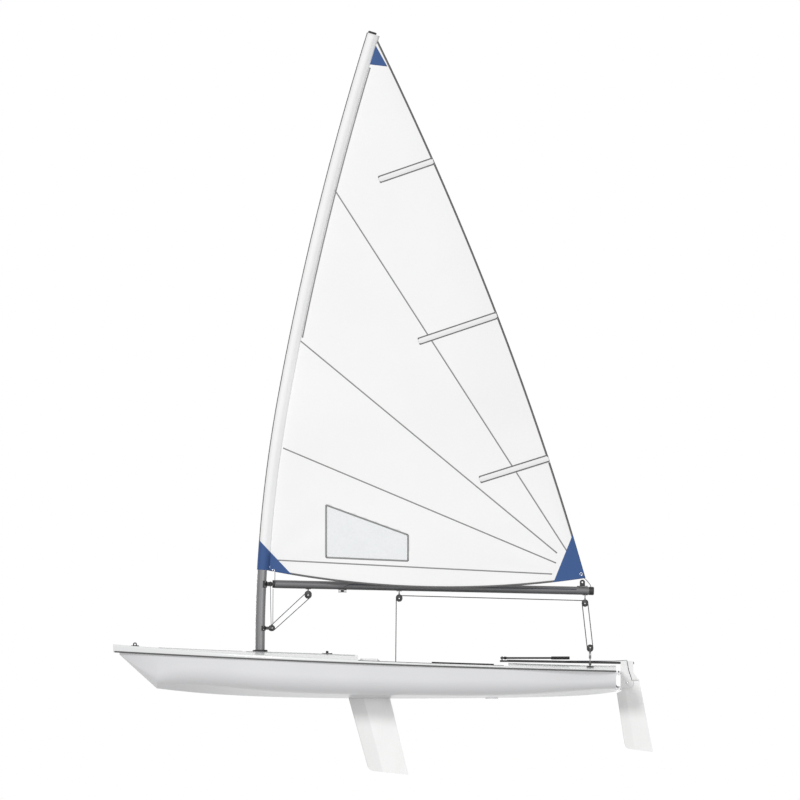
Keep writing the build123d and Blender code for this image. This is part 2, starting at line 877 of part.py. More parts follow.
# A lug with a round top and a hole, on a foot along the boom
def make_outhaul_fitting():
    x = boom_end[0] - outhaul_offset
    base_z = boom_z(x) + boom_radius + end_cap_rim
    lug_z = base_z + outhaul_lug_rise
    foot = Pos(x, 0, base_z + outhaul_foot[2] / 2) * Box(*outhaul_foot)
    outline = Pos(x, lug_z) * Circle(outhaul_lug_width / 2)
    outline += Pos(x, (base_z + lug_z) / 2) * Rectangle(outhaul_lug_width, outhaul_lug_rise)
    outline -= Pos(x, lug_z) * Circle(outhaul_hole_radius)
    return foot + centred_slab(Plane.XZ * outline, outhaul_lug_thickness / 2)


# A horn cleat that hangs under the boom
def make_outhaul_cleat():
    x = boom_front[0] + boom_cleat_offset
    top_z = boom_z(x) - boom_radius - end_cap_rim
    neck_z = top_z - boom_cleat_base[2]
    horn_z = neck_z - boom_cleat_neck[2]
    base = Pos(x, 0, top_z - boom_cleat_base[2] / 2) * Box(*boom_cleat_base)
    neck = Pos(x, 0, neck_z - boom_cleat_neck[2] / 2) * Box(*boom_cleat_neck)
    horn = extrude(Pos(x, 0, horn_z) * SlotOverall(*boom_cleat_horn[:2]), amount=-boom_cleat_horn[2])
    return base + neck + horn


def make_vang_tang():
    x, z, radius = vang_mast_block
    saddle, bore = mast_saddle(z, vang_tang_height)
    centre_x = mast_at_angle(mast_angle(z))[0]
    reach = x - radius - cheek_margin - seat_gap - centre_x
    tongue = Pos(centre_x + reach / 2, 0, z) * Box(reach, vang_tongue_thickness, vang_tongue_height)
    return saddle + tongue - bore


def make_vang_mast_block():
    return rope_block(vang_mast_block, block_half)


# A foil's plan at one height: round nose, fullest a third of the way aft, thin tail
def foil_section(lead_x, trail_x, z, thickness):
    chord = trail_x - lead_x
    nose_x = lead_x + foil_nose_share * chord
    full_x = lead_x + foil_full_share * chord
    half = thickness / 2
    nose_y = foil_nose_height_share * thickness
    shoulder = ((nose_x + full_x) / 2, nose_y + foil_shoulder_share * (half - nose_y))
    tail_y = foil_tail / 2
    starboard = [ThreePointArc((nose_x, nose_y), shoulder, (full_x, half)),
                 Line((full_x, half), (trail_x, tail_y))]
    port = [ThreePointArc((nose_x, -nose_y), (shoulder[0], -shoulder[1]), (full_x, -half)),
            Line((full_x, -half), (trail_x, -tail_y))]
    ends = [ThreePointArc((nose_x, -nose_y), (lead_x, 0), (nose_x, nose_y)),
            Line((trail_x, -tail_y), (trail_x, tail_y))]
    return Pos(0, 0, z) * make_face(Curve() + starboard + port + ends)


def foil(edges, thickness):
    return loft([foil_section(lead_x, trail_x, z, thickness) for lead_x, trail_x, z in edges], ruled=True)


def rounded_outline(points, corner, radius):
    outline = make_face(Polyline(*points, close=True))
    vertex = outline.vertices().sort_by_distance(corner + (0,))[0]
    return fillet(vertex, radius)


def make_daggerboard():
    top_lead = (raked_x(board_lead, board_top_z), board_top_z)
    top_trail = (raked_x(board_trail, board_top_z), board_top_z)
    tip_z = board_tip_trail[1]
    edges = [(top_lead[0], top_trail[0], board_top_z),
             (board_lead[0], board_trail[0], board_lead[1]),
             (edge_x(board_lead, board_tip_lead, tip_z), board_tip_trail[0], tip_z)]
    points = [top_lead, top_trail, board_trail, board_tip_trail, board_tip_lead]
    outline = rounded_outline(points, board_tip_lead, board_tip_round)
    return foil(edges, board_thickness) & centred_slab(Plane.XZ * outline, board_thickness)


def make_daggerboard_stop():
    cap_low = board_top_z + seat_gap
    centre_x = (stop_front_x + stop_aft_x) / 2
    length = stop_aft_x - stop_front_x
    height = cap_low + stop_cap - stop_low_z
    plan = Pos(centre_x, 0, stop_low_z) * RectangleRounded(length, 2 * stop_half, stop_corner)
    body = extrude(plan, amount=height) & above_sheer(bow_x, transom_x, side_deck_rise + seat_gap)
    space = Box(2 * length, board_thickness + 2 * seat_gap, cap_low - stop_low_z)
    return body - Pos(centre_x, 0, (stop_low_z + cap_low) / 2) * space


# Two cheeks that end round the blade's pivot, and a socket for the tiller over them
def make_rudder_head():
    low_circle = Pos(pivot_x, pivot_z) * Circle(head_aft_x - pivot_x)
    corners = [(head_front_x, head_top_z), (head_aft_x, head_top_z), (head_aft_x, pivot_z),
               (pivot_x, pivot_z), (head_front_x, head_low_z)]
    outline = rounded_outline(corners, (head_aft_x, head_top_z), head_round) + low_circle
    front = Pos((head_front_x + head_aft_x) / 2, pivot_z)
    outline = outline & front * Rectangle(head_aft_x - head_front_x, 2 * top_limit)
    body = centred_slab(Plane.XZ * outline, cheek_outer)
    gap_height = socket_low_z - low_limit
    gap = Box(2 * (head_aft_x - head_front_x), 2 * cheek_inner, gap_height)
    body = body - Pos(pivot_x, 0, low_limit + gap_height / 2) * gap - tiller_bar(seat_gap)
    body += cross_pin(pivot_x, pivot_z, pivot_pin_radius, cheek_outer)
    for side in (-1, 1):
        y = side * (cheek_outer + pivot_head_height / 2)
        body += Pos(pivot_x, y, pivot_z) * Rot(90, 0, 0) * Cylinder(pivot_head_radius, pivot_head_height)
    return body


def make_pintles():
    pieces = []
    for z in gudgeon_heights:
        low = z + gudgeon_tongue_height / 2 + 2 * joint_gap
        arm_z = low + pintle_arm_height / 2
        pin = Pos(pintle_x, 0, low - pintle_drop) * Cylinder(pintle_radius, pintle_length)
        arm_length = head_front_x - seat_gap - pintle_x
        arm = Pos(pintle_x + arm_length / 2, 0, arm_z) * Box(arm_length, 2 * cheek_outer, pintle_arm_height)
        collar = Pos(pintle_x, 0, arm_z) * Cylinder(pintle_collar_radius, pintle_arm_height)
        pieces.append(pin + arm + collar)
    return Compound(pieces)


# The blade is a foil under the cheeks, with a round flat head that turns between them
def make_rudder_blade():
    edges = [(pintle_x + lead, pintle_x + trail, z)
             for lead, trail, z in zip(blade_lead, blade_trail, (blade_top_z, blade_tip_z))]
    front_x = pintle_x + blade_front
    shoulder = (pintle_x + blade_shoulder[0], blade_shoulder[1])
    tip_lead = (pintle_x + blade_tip_lead[0], blade_tip_lead[1])
    points = [(front_x, blade_top_z), (front_x, blade_notch_z), shoulder, tip_lead,
              (edges[1][1], blade_tip_z), (edges[0][1], blade_top_z)]
    outline = rounded_outline(points, tip_lead, blade_tip_round)
    body = foil(edges, blade_thickness) & centred_slab(Plane.XZ * outline, blade_thickness)
    body += cross_pin(pivot_x, pivot_z, blade_head_radius, blade_head_thickness / 2)
    return body - cross_pin(pivot_x, pivot_z, pivot_pin_radius + seat_gap, blade_head_thickness)


def tiller_bar(margin):
    half = tiller_height / 2 + margin
    corners = [(tiller_aft[0], tiller_aft[1] - half), (tiller_aft[0], tiller_aft[1] + half),
               (tiller_fore[0], tiller_fore[1] + half), (tiller_fore[0], tiller_fore[1] - half)]
    return centred_slab(side_polygon(corners), tiller_width / 2 + margin)


def make_tiller():
    bar = tiller_bar(0)
    return fillet(bar.edges().sort_by(SortBy.LENGTH)[-4:], tiller_round)


# The extension turns on an upright pin, on a block at the tiller's fore end
def make_tiller_joint():
    x, z = extension_pivot
    front_x = x - joint_base_reach
    aft_x = tiller_fore[0] - seat_gap
    low_z = tiller_fore[1] - joint_base_drop
    plan = Pos((front_x + aft_x) / 2, 0, low_z) * RectangleRounded(aft_x - front_x, joint_base_width,
                                                                  joint_base_round)
    base = extrude(plan, amount=joint_base_height)
    pin_top = z + joint_pin_height / 2
    pin = extrude(Pos(x, 0, low_z) * Circle(joint_pin_radius), amount=pin_top - low_z)
    return base + pin


def make_extension_tube():
    x, z = extension_pivot
    along = Pos(x, 0, z) * Rot(0, 90, 0)
    collar = Pos(x, 0, z) * Cylinder(extension_collar_radius, 2 * extension_radius)
    tube = along * extrude(Circle(extension_radius), amount=extension_length)
    bore_start = along * Pos(0, 0, extension_collar_radius)
    bore = bore_start * extrude(Circle(extension_radius - extension_wall), amount=extension_length)
    hole = Pos(x, 0, z) * Cylinder(joint_pin_radius + seat_gap, 4 * extension_radius)
    return collar + tube - bore - hole


# A sleeve of foam over the tube's end, closed behind it
def make_extension_grip():
    x, z = extension_pivot
    start = x + extension_length - grip_length
    along = Pos(start, 0, z) * Rot(0, 90, 0)
    grip = along * extrude(Circle(grip_radius), amount=grip_length + grip_end)
    grip = chamfer(grip.edges().filter_by(GeomType.CIRCLE), grip_chamfer)
    bore = along * extrude(Circle(extension_radius + seat_gap), amount=grip_length + seat_gap)
    return grip - bore


def main():
    os.makedirs("parts", exist_ok=True)
    skin = outer_skin()
    deck = make_deck_moulding()
    nodes = {
        "hull_shell": make_hull_shell(),
        "deck_moulding": deck,
        "mast_step_ring": make_mast_step_ring(deck),
        "bow_eye": make_bow_eye(deck),
        "deck_cleats": make_deck_cleats(deck),
        "grab_rails": make_grab_rails(),
        "toe_strap": make_toe_strap(),
        "ratchet_block": make_ratchet_block(),
        "self_bailer": make_self_bailer(),
        "drain_plug": make_drain_plug(),
        "gudgeons": make_gudgeons(),
        "traveller_fairleads": make_traveller_fairleads(deck),
        "traveller_line": make_traveller_line(),
        "traveller_block": make_traveller_block(),
        "sheet_lower_block": make_sheet_lower_block(),
        "mast_lower": make_mast_lower(),
        "mast_upper": make_mast_upper(),
        "mast_collar": make_mast_collar(),
        "mast_cap": make_mast_cap(),
        "luff_sleeve": make_luff_sleeve(),
        "sail": make_sail(),
        "batten_pockets": make_batten_pockets(skin),
        "corner_patches": make_corner_patches(skin),
        "sail_window": make_sail_window(skin),
        "gooseneck": make_gooseneck(),
        "boom": make_boom(),
        "boom_end_cap": make_boom_end_cap(),
        "outhaul_fitting": make_outhaul_fitting(),
        "outhaul_cleat": make_outhaul_cleat(),
        "boom_mid_block": boom_block(mid_block),
        "boom_aft_block": boom_block(aft_block),
        "vang_boom_block": boom_block(vang_boom_block),
        "vang_tang": make_vang_tang(),
        "vang_mast_block": make_vang_mast_block(),
        "daggerboard": make_daggerboard(),
        "daggerboard_stop": make_daggerboard_stop(),
        "rudder_head": make_rudder_head(),
        "pintles": make_pintles(),
        "tiller": make_tiller(),
        "tiller_joint": make_tiller_joint(),
        "rudder_blade": make_rudder_blade(),
        "extension_tube": make_extension_tube(),
        "extension_grip": make_extension_grip(),
    }
    for name, shape in nodes.items():
        export_step(shape, f"parts/{name}.step")


main()
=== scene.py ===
import math

import bmesh
import bpy
from mathutils import Matrix, Vector


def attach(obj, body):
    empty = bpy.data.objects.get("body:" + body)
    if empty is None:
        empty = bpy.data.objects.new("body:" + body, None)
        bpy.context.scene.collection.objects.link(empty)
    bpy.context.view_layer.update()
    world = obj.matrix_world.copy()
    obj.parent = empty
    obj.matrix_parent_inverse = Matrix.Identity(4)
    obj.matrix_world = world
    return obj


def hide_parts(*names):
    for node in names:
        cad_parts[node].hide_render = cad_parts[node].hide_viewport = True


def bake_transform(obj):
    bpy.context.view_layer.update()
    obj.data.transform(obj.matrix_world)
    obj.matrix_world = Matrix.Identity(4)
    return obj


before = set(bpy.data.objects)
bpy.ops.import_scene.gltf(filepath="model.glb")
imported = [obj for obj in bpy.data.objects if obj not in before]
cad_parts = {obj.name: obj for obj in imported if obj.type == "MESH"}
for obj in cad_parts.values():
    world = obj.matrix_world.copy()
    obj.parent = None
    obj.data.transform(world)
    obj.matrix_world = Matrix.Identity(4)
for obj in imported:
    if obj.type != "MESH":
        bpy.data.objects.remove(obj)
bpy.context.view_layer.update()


# Node trees

def operator(operation, reflected=False):
    def apply(self, other):
        return self.work(operation, other, self) if reflected else self.work(operation, self, other)

    return apply


class Amount:        # one value in a node tree: a sum on it adds Math nodes
    def __init__(self, tree, socket):
        self.tree, self.socket = tree, socket

    def work(self, operation, *values):
        return self.tree.add("ShaderNodeMath", {"operation": operation}, values)

    def __abs__(self):
        return self.work("ABSOLUTE", self)

    def sine(self):
        return self.work("SINE", self)

    __add__, __radd__ = operator("ADD"), operator("ADD", True)
    __sub__, __rsub__ = operator("SUBTRACT"), operator("SUBTRACT", True)
    __mul__, __rmul__ = operator("MULTIPLY"), operator("MULTIPLY", True)
    __gt__, __lt__ = operator("GREATER_THAN"), operator("LESS_THAN")


class Tree:          # the nodes of one material or world
    def __init__(self, owner):
        owner.use_nodes = True
        self.nodes = owner.node_tree.nodes
        self.links = owner.node_tree.links
        self.nodes.clear()

    def add(self, kind, settings=None, values=(), out=0):
        node = self.nodes.new(kind)
        for name, value in (settings or {}).items():
            setattr(node, name, value)
        pairs = values.items() if isinstance(values, dict) else enumerate(values)
        for key, value in pairs:
            self.feed(node.inputs[key], value)
        return Amount(self, node.outputs[out])

    def feed(self, socket, value):
        if isinstance(value, Amount):
            self.links.new(value.socket, socket)
        else:
            socket.default_value = value

    def end(self, kind, shader):
        self.feed(self.nodes.new(kind).inputs[0], shader)

    def split(self, vector):
        node = self.nodes.new("ShaderNodeSeparateXYZ")
        self.feed(node.inputs[0], vector)
        return [Amount(self, socket) for socket in node.outputs]

    def noise(self, place, scale, detail=3, roughness=0.5):
        return self.add("ShaderNodeTexNoise", None,
                        {"Vector": place, "Scale": scale, "Detail": detail, "Roughness": roughness})

    def spread(self, value, low, high, toLow=0, toHigh=1):
        return self.add("ShaderNodeMapRange", {"clamp": True}, (value, low, high, toLow, toHigh))

    def blendColours(self, share, first, second):
        return self.add("ShaderNodeMix", {"data_type": "RGBA"}, {0: share, 6: first, 7: second}, out=2)


def grey(level):
    return (level, level, level, 1)


def shade(colour, factor):
    return tuple(channel * factor for channel in colour[:3]) + (1,)


class Finish(Tree):  # a material with one Principled shader
    def __init__(self, name, **plain):
        self.material = bpy.data.materials.new(name)
        super().__init__(self.material)
        self.coat = self.nodes.new("ShaderNodeBsdfPrincipled")
        self.end("ShaderNodeOutputMaterial", Amount(self, self.coat.outputs[0]))
        self.put(**plain)

    def put(self, **values):
        for socket, value in values.items():
            self.feed(self.coat.inputs[socket.replace("_", " ")], value)

    def place(self):
        return self.add("ShaderNodeTexCoord", out="Object")

    def alongPiece(self):
        return self.split(self.add("ShaderNodeUVMap"))[:2]

    def streaks(self, scale, detail=3, roughness=0.5):
        stretched = self.add("ShaderNodeMapping", None, {"Vector": self.place(), "Scale": scale})
        return self.noise(stretched, 1.0, detail, roughness)

    def mottled(self, pattern, low, high, colour, factor):
        return self.blendColours(self.spread(pattern, low, high), colour, shade(colour, factor))

    def surface(self, colour, roughness, height, strength, distance=0.001):
        bump = self.add("ShaderNodeBump", None, {"Strength": strength, "Distance": distance, "Height": height})
        self.put(Base_Color=colour, Roughness=roughness, Normal=bump)
        return self.material


# Finishes

def gelcoatFinish(name, colour, scuffed=0.5):
    made = Finish(name, Coat_Weight=0.35, Coat_Roughness=0.08, IOR=1.5)
    place = made.place()
    scratch = made.spread(made.streaks((3, 40, 40), 5, 0.65), 0.6, 0.72) * scuffed
    # the hull's colour is darker towards the bottom: from z 0.09 down to z -0.05 it goes 22% of the way to 0.86 of
    # itself
    low = made.spread(made.split(place)[2], 0.09, -0.05)
    tint = made.mottled(made.noise(place, 1.6, 4), 0.3, 0.7, colour, 0.965)
    darkerBelow = made.blendColours(low * 0.22, tint, shade(colour, 0.86))
    worn = made.blendColours(scratch * 0.35, darkerBelow, shade(colour, 0.88))
    return made.surface(worn, 0.24 + scratch * 0.3 + low * 0.08, made.noise(place, 420, 2), 0.06)


deck = {
    "colour": (0.78, 0.785, 0.79, 1), "grip": (0.27, 0.28, 0.29, 1), "pitch": 0.011, "gripLow": 0.15,
    "gripPanels": [(-1.72, -1.02, -1, 0.26), (-0.99, -0.08, -1, 0.34), (-0.03, 0.56, 0.345, 0.56),
                   (0.60, 1.17, 0.345, 0.54), (1.24, 1.80, 0.04, 0.36)],
}


def deckFinish():
    made = Finish("deckGelcoat", Coat_Weight=0.3, Coat_Roughness=0.12, IOR=1.5)
    place = made.place()
    x, y, z = made.split(place)
    side = abs(y)
    onPanel = 0
    for front, aft, inner, outer in deck["gripPanels"]:
        onPanel = onPanel + (x > front) * (x < aft) * ((side > inner) * (side < outer))
    onPanel = onPanel * (z > deck["gripLow"])
    turn = 2 * math.pi / deck["pitch"]
    studs = made.spread(((x + y) * turn).sine() * ((x - y) * turn).sine(), 0.1, 0.6) * onPanel
    tint = made.mottled(made.noise(place, 2.2, 4), 0.3, 0.7, deck["colour"], 0.96)
    gripTint = made.blendColours(studs * 0.5, deck["grip"], deck["colour"])
    return made.surface(made.blendColours(onPanel, tint, gripTint), 0.26 + onPanel * 0.3,
                        studs + made.noise(place, 420, 2) * 0.03, 0.5, 0.0012)


def foilFinish():
    colour = (0.80, 0.80, 0.795, 1)
    made = Finish("foilGelcoat", Coat_Weight=0.4, Coat_Roughness=0.1, IOR=1.5)
    place = made.place()
    streak = made.spread(made.streaks((30, 30, 4), 4, 0.6), 0.56, 0.7)
    tint = made.mottled(made.noise(place, 3), 0.3, 0.7, colour, 0.96)
    worn = made.blendColours(streak * 0.25, tint, shade(colour, 0.82))
    return made.surface(worn, 0.22 + streak * 0.25, made.noise(place, 380, 2), 0.05)


def alloyFinish(name, colour, along):
    made = Finish(name, Metallic=0.5, IOR=1.5)
    brushed = made.streaks(along, 4, 0.6)
    cloud = made.spread(made.noise(made.place(), 2.5), 0.55, 0.75)
    tint = made.mottled(brushed, 0.35, 0.65, colour, 0.86)
    worn = made.blendColours(cloud * 0.3, tint, shade(colour, 1.25))
    return made.surface(worn, made.spread(brushed, 0.3, 0.7, 0.33, 0.45), brushed, 0.08, 0.0004)


def steelFinish():
    made = Finish("stainless", Metallic=1.0)
    smear = made.spread(made.noise(made.place(), 60, 4), 0.35, 0.7)
    scratch = made.streaks((900, 60, 60), 3, 0.7)
    tint = made.blendColours(smear, (0.62, 0.62, 0.63, 1), (0.5, 0.5, 0.52, 1))
    return made.surface(tint, made.spread(scratch, 0.3, 0.7, 0.18, 0.36), scratch, 0.1, 0.0002)


def plasticFinish(name, level, rough=0.42):
    made = Finish(name, IOR=1.46)
    place = made.place()
    bloom = made.spread(made.noise(place, 9, 4), 0.45, 0.75)
    tint = made.blendColours(bloom * 0.5, grey(level), grey(level * 1.9))
    return made.surface(tint, rough + bloom * 0.12, made.noise(place, 900), 0.2, 0.0003)


def rubberFinish():
    made = Finish("rubber", IOR=1.45)
    pores = made.noise(made.place(), 650, 4, 0.7)
    tint = made.blendColours(made.spread(pores, 0.4, 0.7), grey(0.012), grey(0.035))
    return made.surface(tint, 0.78 + pores * 0.1, pores, 0.5, 0.0006)


def clothFinish(name, colour, weave=0.0016):
    made = Finish(name, Sheen_Weight=0.15, Sheen_Roughness=0.4, IOR=1.45)
    place = made.place()
    x, y, z = made.split(place)
    turn = 2 * math.pi / weave
    threads = (x * turn).sine() * (z * turn).sine()
    crinkle = made.streaks((7, 7, 3), 5, 0.62)
    tint = made.mottled(made.noise(place, 1.1), 0.35, 0.7, colour, 0.97)
    return made.surface(tint, 0.62 + crinkle * 0.12, threads * 0.06 + crinkle * 6, 0.35, 0.0012)


def tapeFinish(name, colour, thread, stitch=0.009):
    made = Finish(name, Sheen_Weight=0.2, IOR=1.45)
    across, along = made.alongPiece()
    wave = (along * (2 * math.pi / stitch)).sine()
    sewn = abs(across - (0.5 + wave * 0.26)) < 0.1
    weave = made.streaks((500, 500, 500), 2)
    cloth = made.blendColours(weave * 0.3, colour, shade(colour, 0.8))
    return made.surface(made.blendColours(sewn, cloth, thread), 0.66 + weave * 0.1,
                        sewn + weave * 0.3, 0.4, 0.0006)


def webbingFinish():
    made = Finish("webbing", Sheen_Weight=0.3, IOR=1.45)
    across, along = made.alongPiece()
    weave = made.spread((along * 2600).sine() * (across * 110).sine(), -0.6, 0.8)
    tint = made.blendColours(weave, grey(0.012), grey(0.05))
    return made.surface(tint, 0.75 + weave * 0.1, weave, 0.6, 0.0008)


def ropeFinish(name, colour, fleck, strands=8, pitch=0.012):
    made = Finish(name, Sheen_Weight=0.25, IOR=1.45)
    around, along = made.alongPiece()
    turn = 2 * math.pi
    right = (around * (strands * turn) + along * (turn / pitch)).sine()
    left = (around * (strands * turn) - along * (turn / pitch)).sine()
    slow = (around * (2 * turn) + along * (turn / (pitch * 3))).sine()
    braid = made.spread(right * left, -0.7, 0.7)
    flecked = made.spread(slow * right, 0.45, 0.6)
    # painted shade: where the braid is low, in the grooves between the strands, the colour drops to 0.55 of itself
    tint = made.blendColours(flecked, made.blendColours(braid, shade(colour, 0.55), colour), fleck)
    return made.surface(tint, 0.7 + braid * 0.12, braid, 0.8, 0.0008)


def filmFinish():
    made = Finish("windowFilm", IOR=1.4, Coat_Weight=0.5)
    haze = made.noise(made.place(), 9, 4)
    tint = made.blendColours(haze, (0.70, 0.73, 0.75, 1), (0.80, 0.82, 0.83, 1))
    made.put(Alpha=made.spread(haze, 0.3, 0.7, 0.34, 0.46))
    return made.surface(tint, 0.12 + haze * 0.12, made.streaks((9, 9, 5)), 0.4, 0.004)


finishes = {
    "hull": gelcoatFinish("hullGelcoat", (0.82, 0.822, 0.838, 1)),
    "deck": deckFinish(),
    "foil": foilFinish(),
    "mast": alloyFinish("mastAlloy", (0.21, 0.21, 0.215, 1), (260, 260, 3)),
    "boom": alloyFinish("boomAlloy", (0.15, 0.15, 0.155, 1), (3, 260, 260)),
    "tiller": alloyFinish("tillerAlloy", (0.04, 0.04, 0.042, 1), (3, 260, 260)),
    "steel": steelFinish(),
    "plastic": plasticFinish("blackPlastic", 0.014),
    "dullPlastic": plasticFinish("greyPlastic", 0.07, 0.5),
    "rubber": rubberFinish(),
    "cloth": clothFinish("sailcloth", (0.86, 0.86, 0.86, 1)),
    "patch": clothFinish("patchCloth", (0.030, 0.082, 0.235, 1)),
    "pocket": clothFinish("pocketCloth", (0.80, 0.80, 0.80, 1)),
    "edgeTape": tapeFinish("edgeTape", grey(0.06), grey(0.25)),
    "seamTape": tapeFinish("seamTape", grey(0.30), grey(0.12)),
    "thread": tapeFinish("borderThread", grey(0.09), grey(0.3), 0.006),
    "webbing": webbingFinish(),
    "sheet": ropeFinish("sheetRope", grey(0.045), grey(0.5)),
    "line": ropeFinish("controlLine", grey(0.03), (0.08, 0.14, 0.35, 1), 6, 0.009),
    "film": filmFinish(),
}
print("finishes made:", len(finishes))


# Tools that the pieces share

def wear(piece, finish):
    piece.data.materials.clear()
    piece.data.materials.append(finishes[finish])


def newObject(name, data):
    made = bpy.data.objects.new(name, data)
    bpy.context.scene.collection.objects.link(made)
    return made


def clearSelection():
    if bpy.context.object and bpy.context.object.mode != "OBJECT":
        bpy.ops.object.mode_set(mode="OBJECT")
    bpy.ops.object.select_all(action="DESELECT")


def active(piece):
    clearSelection()
    piece.select_set(True)
    bpy.context.view_layer.objects.active = piece


def radians(turn):
    return [math.radians(angle) for angle in turn]


def evenSteps(low, high, count):
    return [low + (high - low) * index / count for index in range(count + 1)]


def arcSpots(centre, radius, start, end, count):     # degrees, from the first axis towards the second
    turns = radians(evenSteps(start, end, count))
    return [(centre[0] + radius * math.cos(turn), centre[1] + radius * math.sin(turn)) for turn in turns]


def smoothRun(points, step=0.02):
    spots = [Vector(points[0])]
    for start, end in zip(points, points[1:]):
        start, end = Vector(start), Vector(end)
        count = max(1, int((end - start).length / step))
        spots += [start.lerp(end, (index + 1) / count) for index in range(count)]
    return spots


def quads(rows, columns, across=False, along=False):     # across or along says that the grid closes that way
    faces = []
    for row in range(rows if along else rows - 1):
        low, high = row * columns, (row + 1) % rows * columns
        for column in range(columns if across else columns - 1):
            following = (column + 1) % columns
            faces.append((low + column, low + following, high + following, high + column))
    return faces


def smooth(piece):
    for face in piece.data.polygons:
        face.use_smooth = True


def meshPiece(name, points, faces, body, finish, uvs=None):
    mesh = bpy.data.meshes.new(name)
    mesh.from_pydata([tuple(point) for point in points], [], faces)
    if uvs:
        layer = mesh.uv_layers.new(name="UVMap")
        for loop in mesh.loops:
            layer.data[loop.index].uv = uvs[loop.vertex_index]
    piece = newObject(name, mesh)
    wear(piece, finish)
    smooth(piece)
    if body:
        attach(piece, body)
    return piece


def reshape(piece, change):
    work = bmesh.new()
    work.from_mesh(piece.data)
    result = change(work)
    work.to_mesh(piece.data)
    work.free()
    return result


def faceOut(work):
    bmesh.ops.recalc_face_normals(work, faces=work.faces)


def tidyMesh(piece, merge=0.00005):
    def mend(work):
        bmesh.ops.remove_doubles(work, verts=work.verts, dist=merge)
        bmesh.ops.dissolve_degenerate(work, dist=merge / 2, edges=work.edges)
        faceOut(work)

    reshape(piece, mend)


def cut(work, geometry, place, normal, clear):
    bmesh.ops.bisect_plane(work, geom=geometry, dist=0.00001, plane_co=place, plane_no=normal, clear_outer=clear)


def wholeOf(work):
    return work.verts[:] + work.edges[:] + work.faces[:]


def giveThickness(piece, thickness):
    active(piece)
    solid = piece.modifiers.new("thickness", "SOLIDIFY")
    solid.thickness = thickness
    solid.offset = 0
    solid.use_even_offset = True
    bpy.ops.object.modifier_apply(modifier=solid.name)


def joinPieces(pieces, name):
    active(pieces[0])
    for piece in pieces:
        piece.select_set(True)
    bpy.ops.object.join()
    joined = bpy.context.object
    joined.name = name
    joined.data.name = name
    return joined


# Camera, backdrop and light

studio = {
    "centre": (0.296, -20, 2.405), "width": 6.68, "reach": 200, "worldLight": 0.44,
    "floor": 0.0, "floorSize": 60, "floorShow": 0.5,
    "suns": [("keySun", 1.45, (66, 0, -24), 12), ("fillSun", 0.8, (86, 0, 26), 40),
             ("backSun", 1.1, (78, 0, 200), 30)],
}


def makeCamera():
    data = bpy.data.cameras.new("camera")
    data.type = "ORTHO"
    data.ortho_scale = studio["width"]
    data.clip_end = studio["reach"]
    camera = newObject("camera", data)
    camera.location = studio["centre"]
    camera.rotation_euler = (math.pi / 2, 0, 0)
    bpy.context.scene.camera = camera


def makeWorld():
    world = bpy.data.worlds.new("studioWorld")
    bpy.context.scene.world = world
    tree = Tree(world)
    path = tree.nodes.new("ShaderNodeLightPath")
    seen = Amount(tree, path.outputs["Is Camera Ray"])
    for name in ("Is Glossy Ray", "Is Transmission Ray"):
        seen = seen.work("MAXIMUM", seen, Amount(tree, path.outputs[name]))
    level = tree.spread(seen, 0, 1, studio["worldLight"], 1)
    light = tree.add("ShaderNodeBackground", None, {"Color": grey(1), "Strength": level})
    tree.end("ShaderNodeOutputWorld", light)


def makeSun(name, level, turn, softness):
    data = bpy.data.lights.new(name, "SUN")
    data.energy = level
    data.angle = math.radians(softness)
    newObject(name, data).rotation_euler = radians(turn)


def floorFinish():      # seen from above it is a thin veil of water, and light passes it
    material = bpy.data.materials.new("floorVeil")
    tree = Tree(material)
    path = tree.nodes.new("ShaderNodeLightPath")
    side = tree.nodes.new("ShaderNodeNewGeometry")
    shown = Amount(tree, path.outputs["Is Camera Ray"]) * (1 - Amount(tree, side.outputs["Backfacing"]))
    clear = tree.add("ShaderNodeBsdfTransparent")
    pale = tree.add("ShaderNodeBsdfDiffuse", None, {"Color": grey(0.95)})
    mixed = tree.add("ShaderNodeMixShader", None, (shown * studio["floorShow"], clear, pale))
    tree.end("ShaderNodeOutputMaterial", mixed)
    return material


def makeFloor():
    clearSelection()
    bpy.ops.mesh.primitive_grid_add(x_subdivisions=8, y_subdivisions=8, size=studio["floorSize"],
                                    location=(0, 0, studio["floor"]))
    floor = bpy.context.object
    floor.name = "waterFloor"
    bpy.ops.object.transform_apply(location=True, rotation=True, scale=True)
    floor.data.materials.append(floorFinish())


makeCamera()
makeWorld()
for sun in studio["suns"]:
    makeSun(*sun)
makeFloor()
bpy.context.scene.view_settings.view_transform = "Standard"
print("camera, light and floor ready")


# The CAD pieces that keep their shape get their finishes

cadFinishes = {
    "hull": ["hull_shell"],
    "deck": ["deck_moulding"],
    "foil": ["daggerboard", "rudder_blade", "daggerboard_stop", "rudder_head"],
    "mast": ["mast_lower", "mast_upper"],
    "boom": ["boom"],
    "tiller": ["tiller", "extension_tube"],
    "steel": ["gudgeons", "pintles", "self_bailer"],
    "plastic": ["bow_eye", "mast_step_ring", "mast_collar", "mast_cap", "boom_end_cap", "deck_cleats",
                "grab_rails", "outhaul_fitting", "outhaul_cleat", "traveller_fairleads", "drain_plug",
                "tiller_joint", "gooseneck", "vang_tang"],
    "rubber": ["extension_grip"],
}

for finish, names in cadFinishes.items():
    for name in names:
        for slot in bpy.data.objects[name].material_slots:
            slot.material = finishes[finish]
print("CAD pieces finished")


# Mast line and sail surface, as functions of height

mast = {"x": -0.873, "straightTop": 0.317, "radii": (11.8, 25.3), "turns": radians((10.2, 17.33))}


def mastAt(turn):
    first = min(turn, mast["turns"][0])
    x = mast["x"] + mast["radii"][0] * (1 - math.cos(first))
    z = mast["straightTop"] + mast["radii"][0] * math.sin(first)
    if turn > first:
        x += mast["radii"][1] * (math.cos(first) - math.cos(turn))
        z += mast["radii"][1] * (math.sin(turn) - math.sin(first))
    return Vector((x, 0, z))


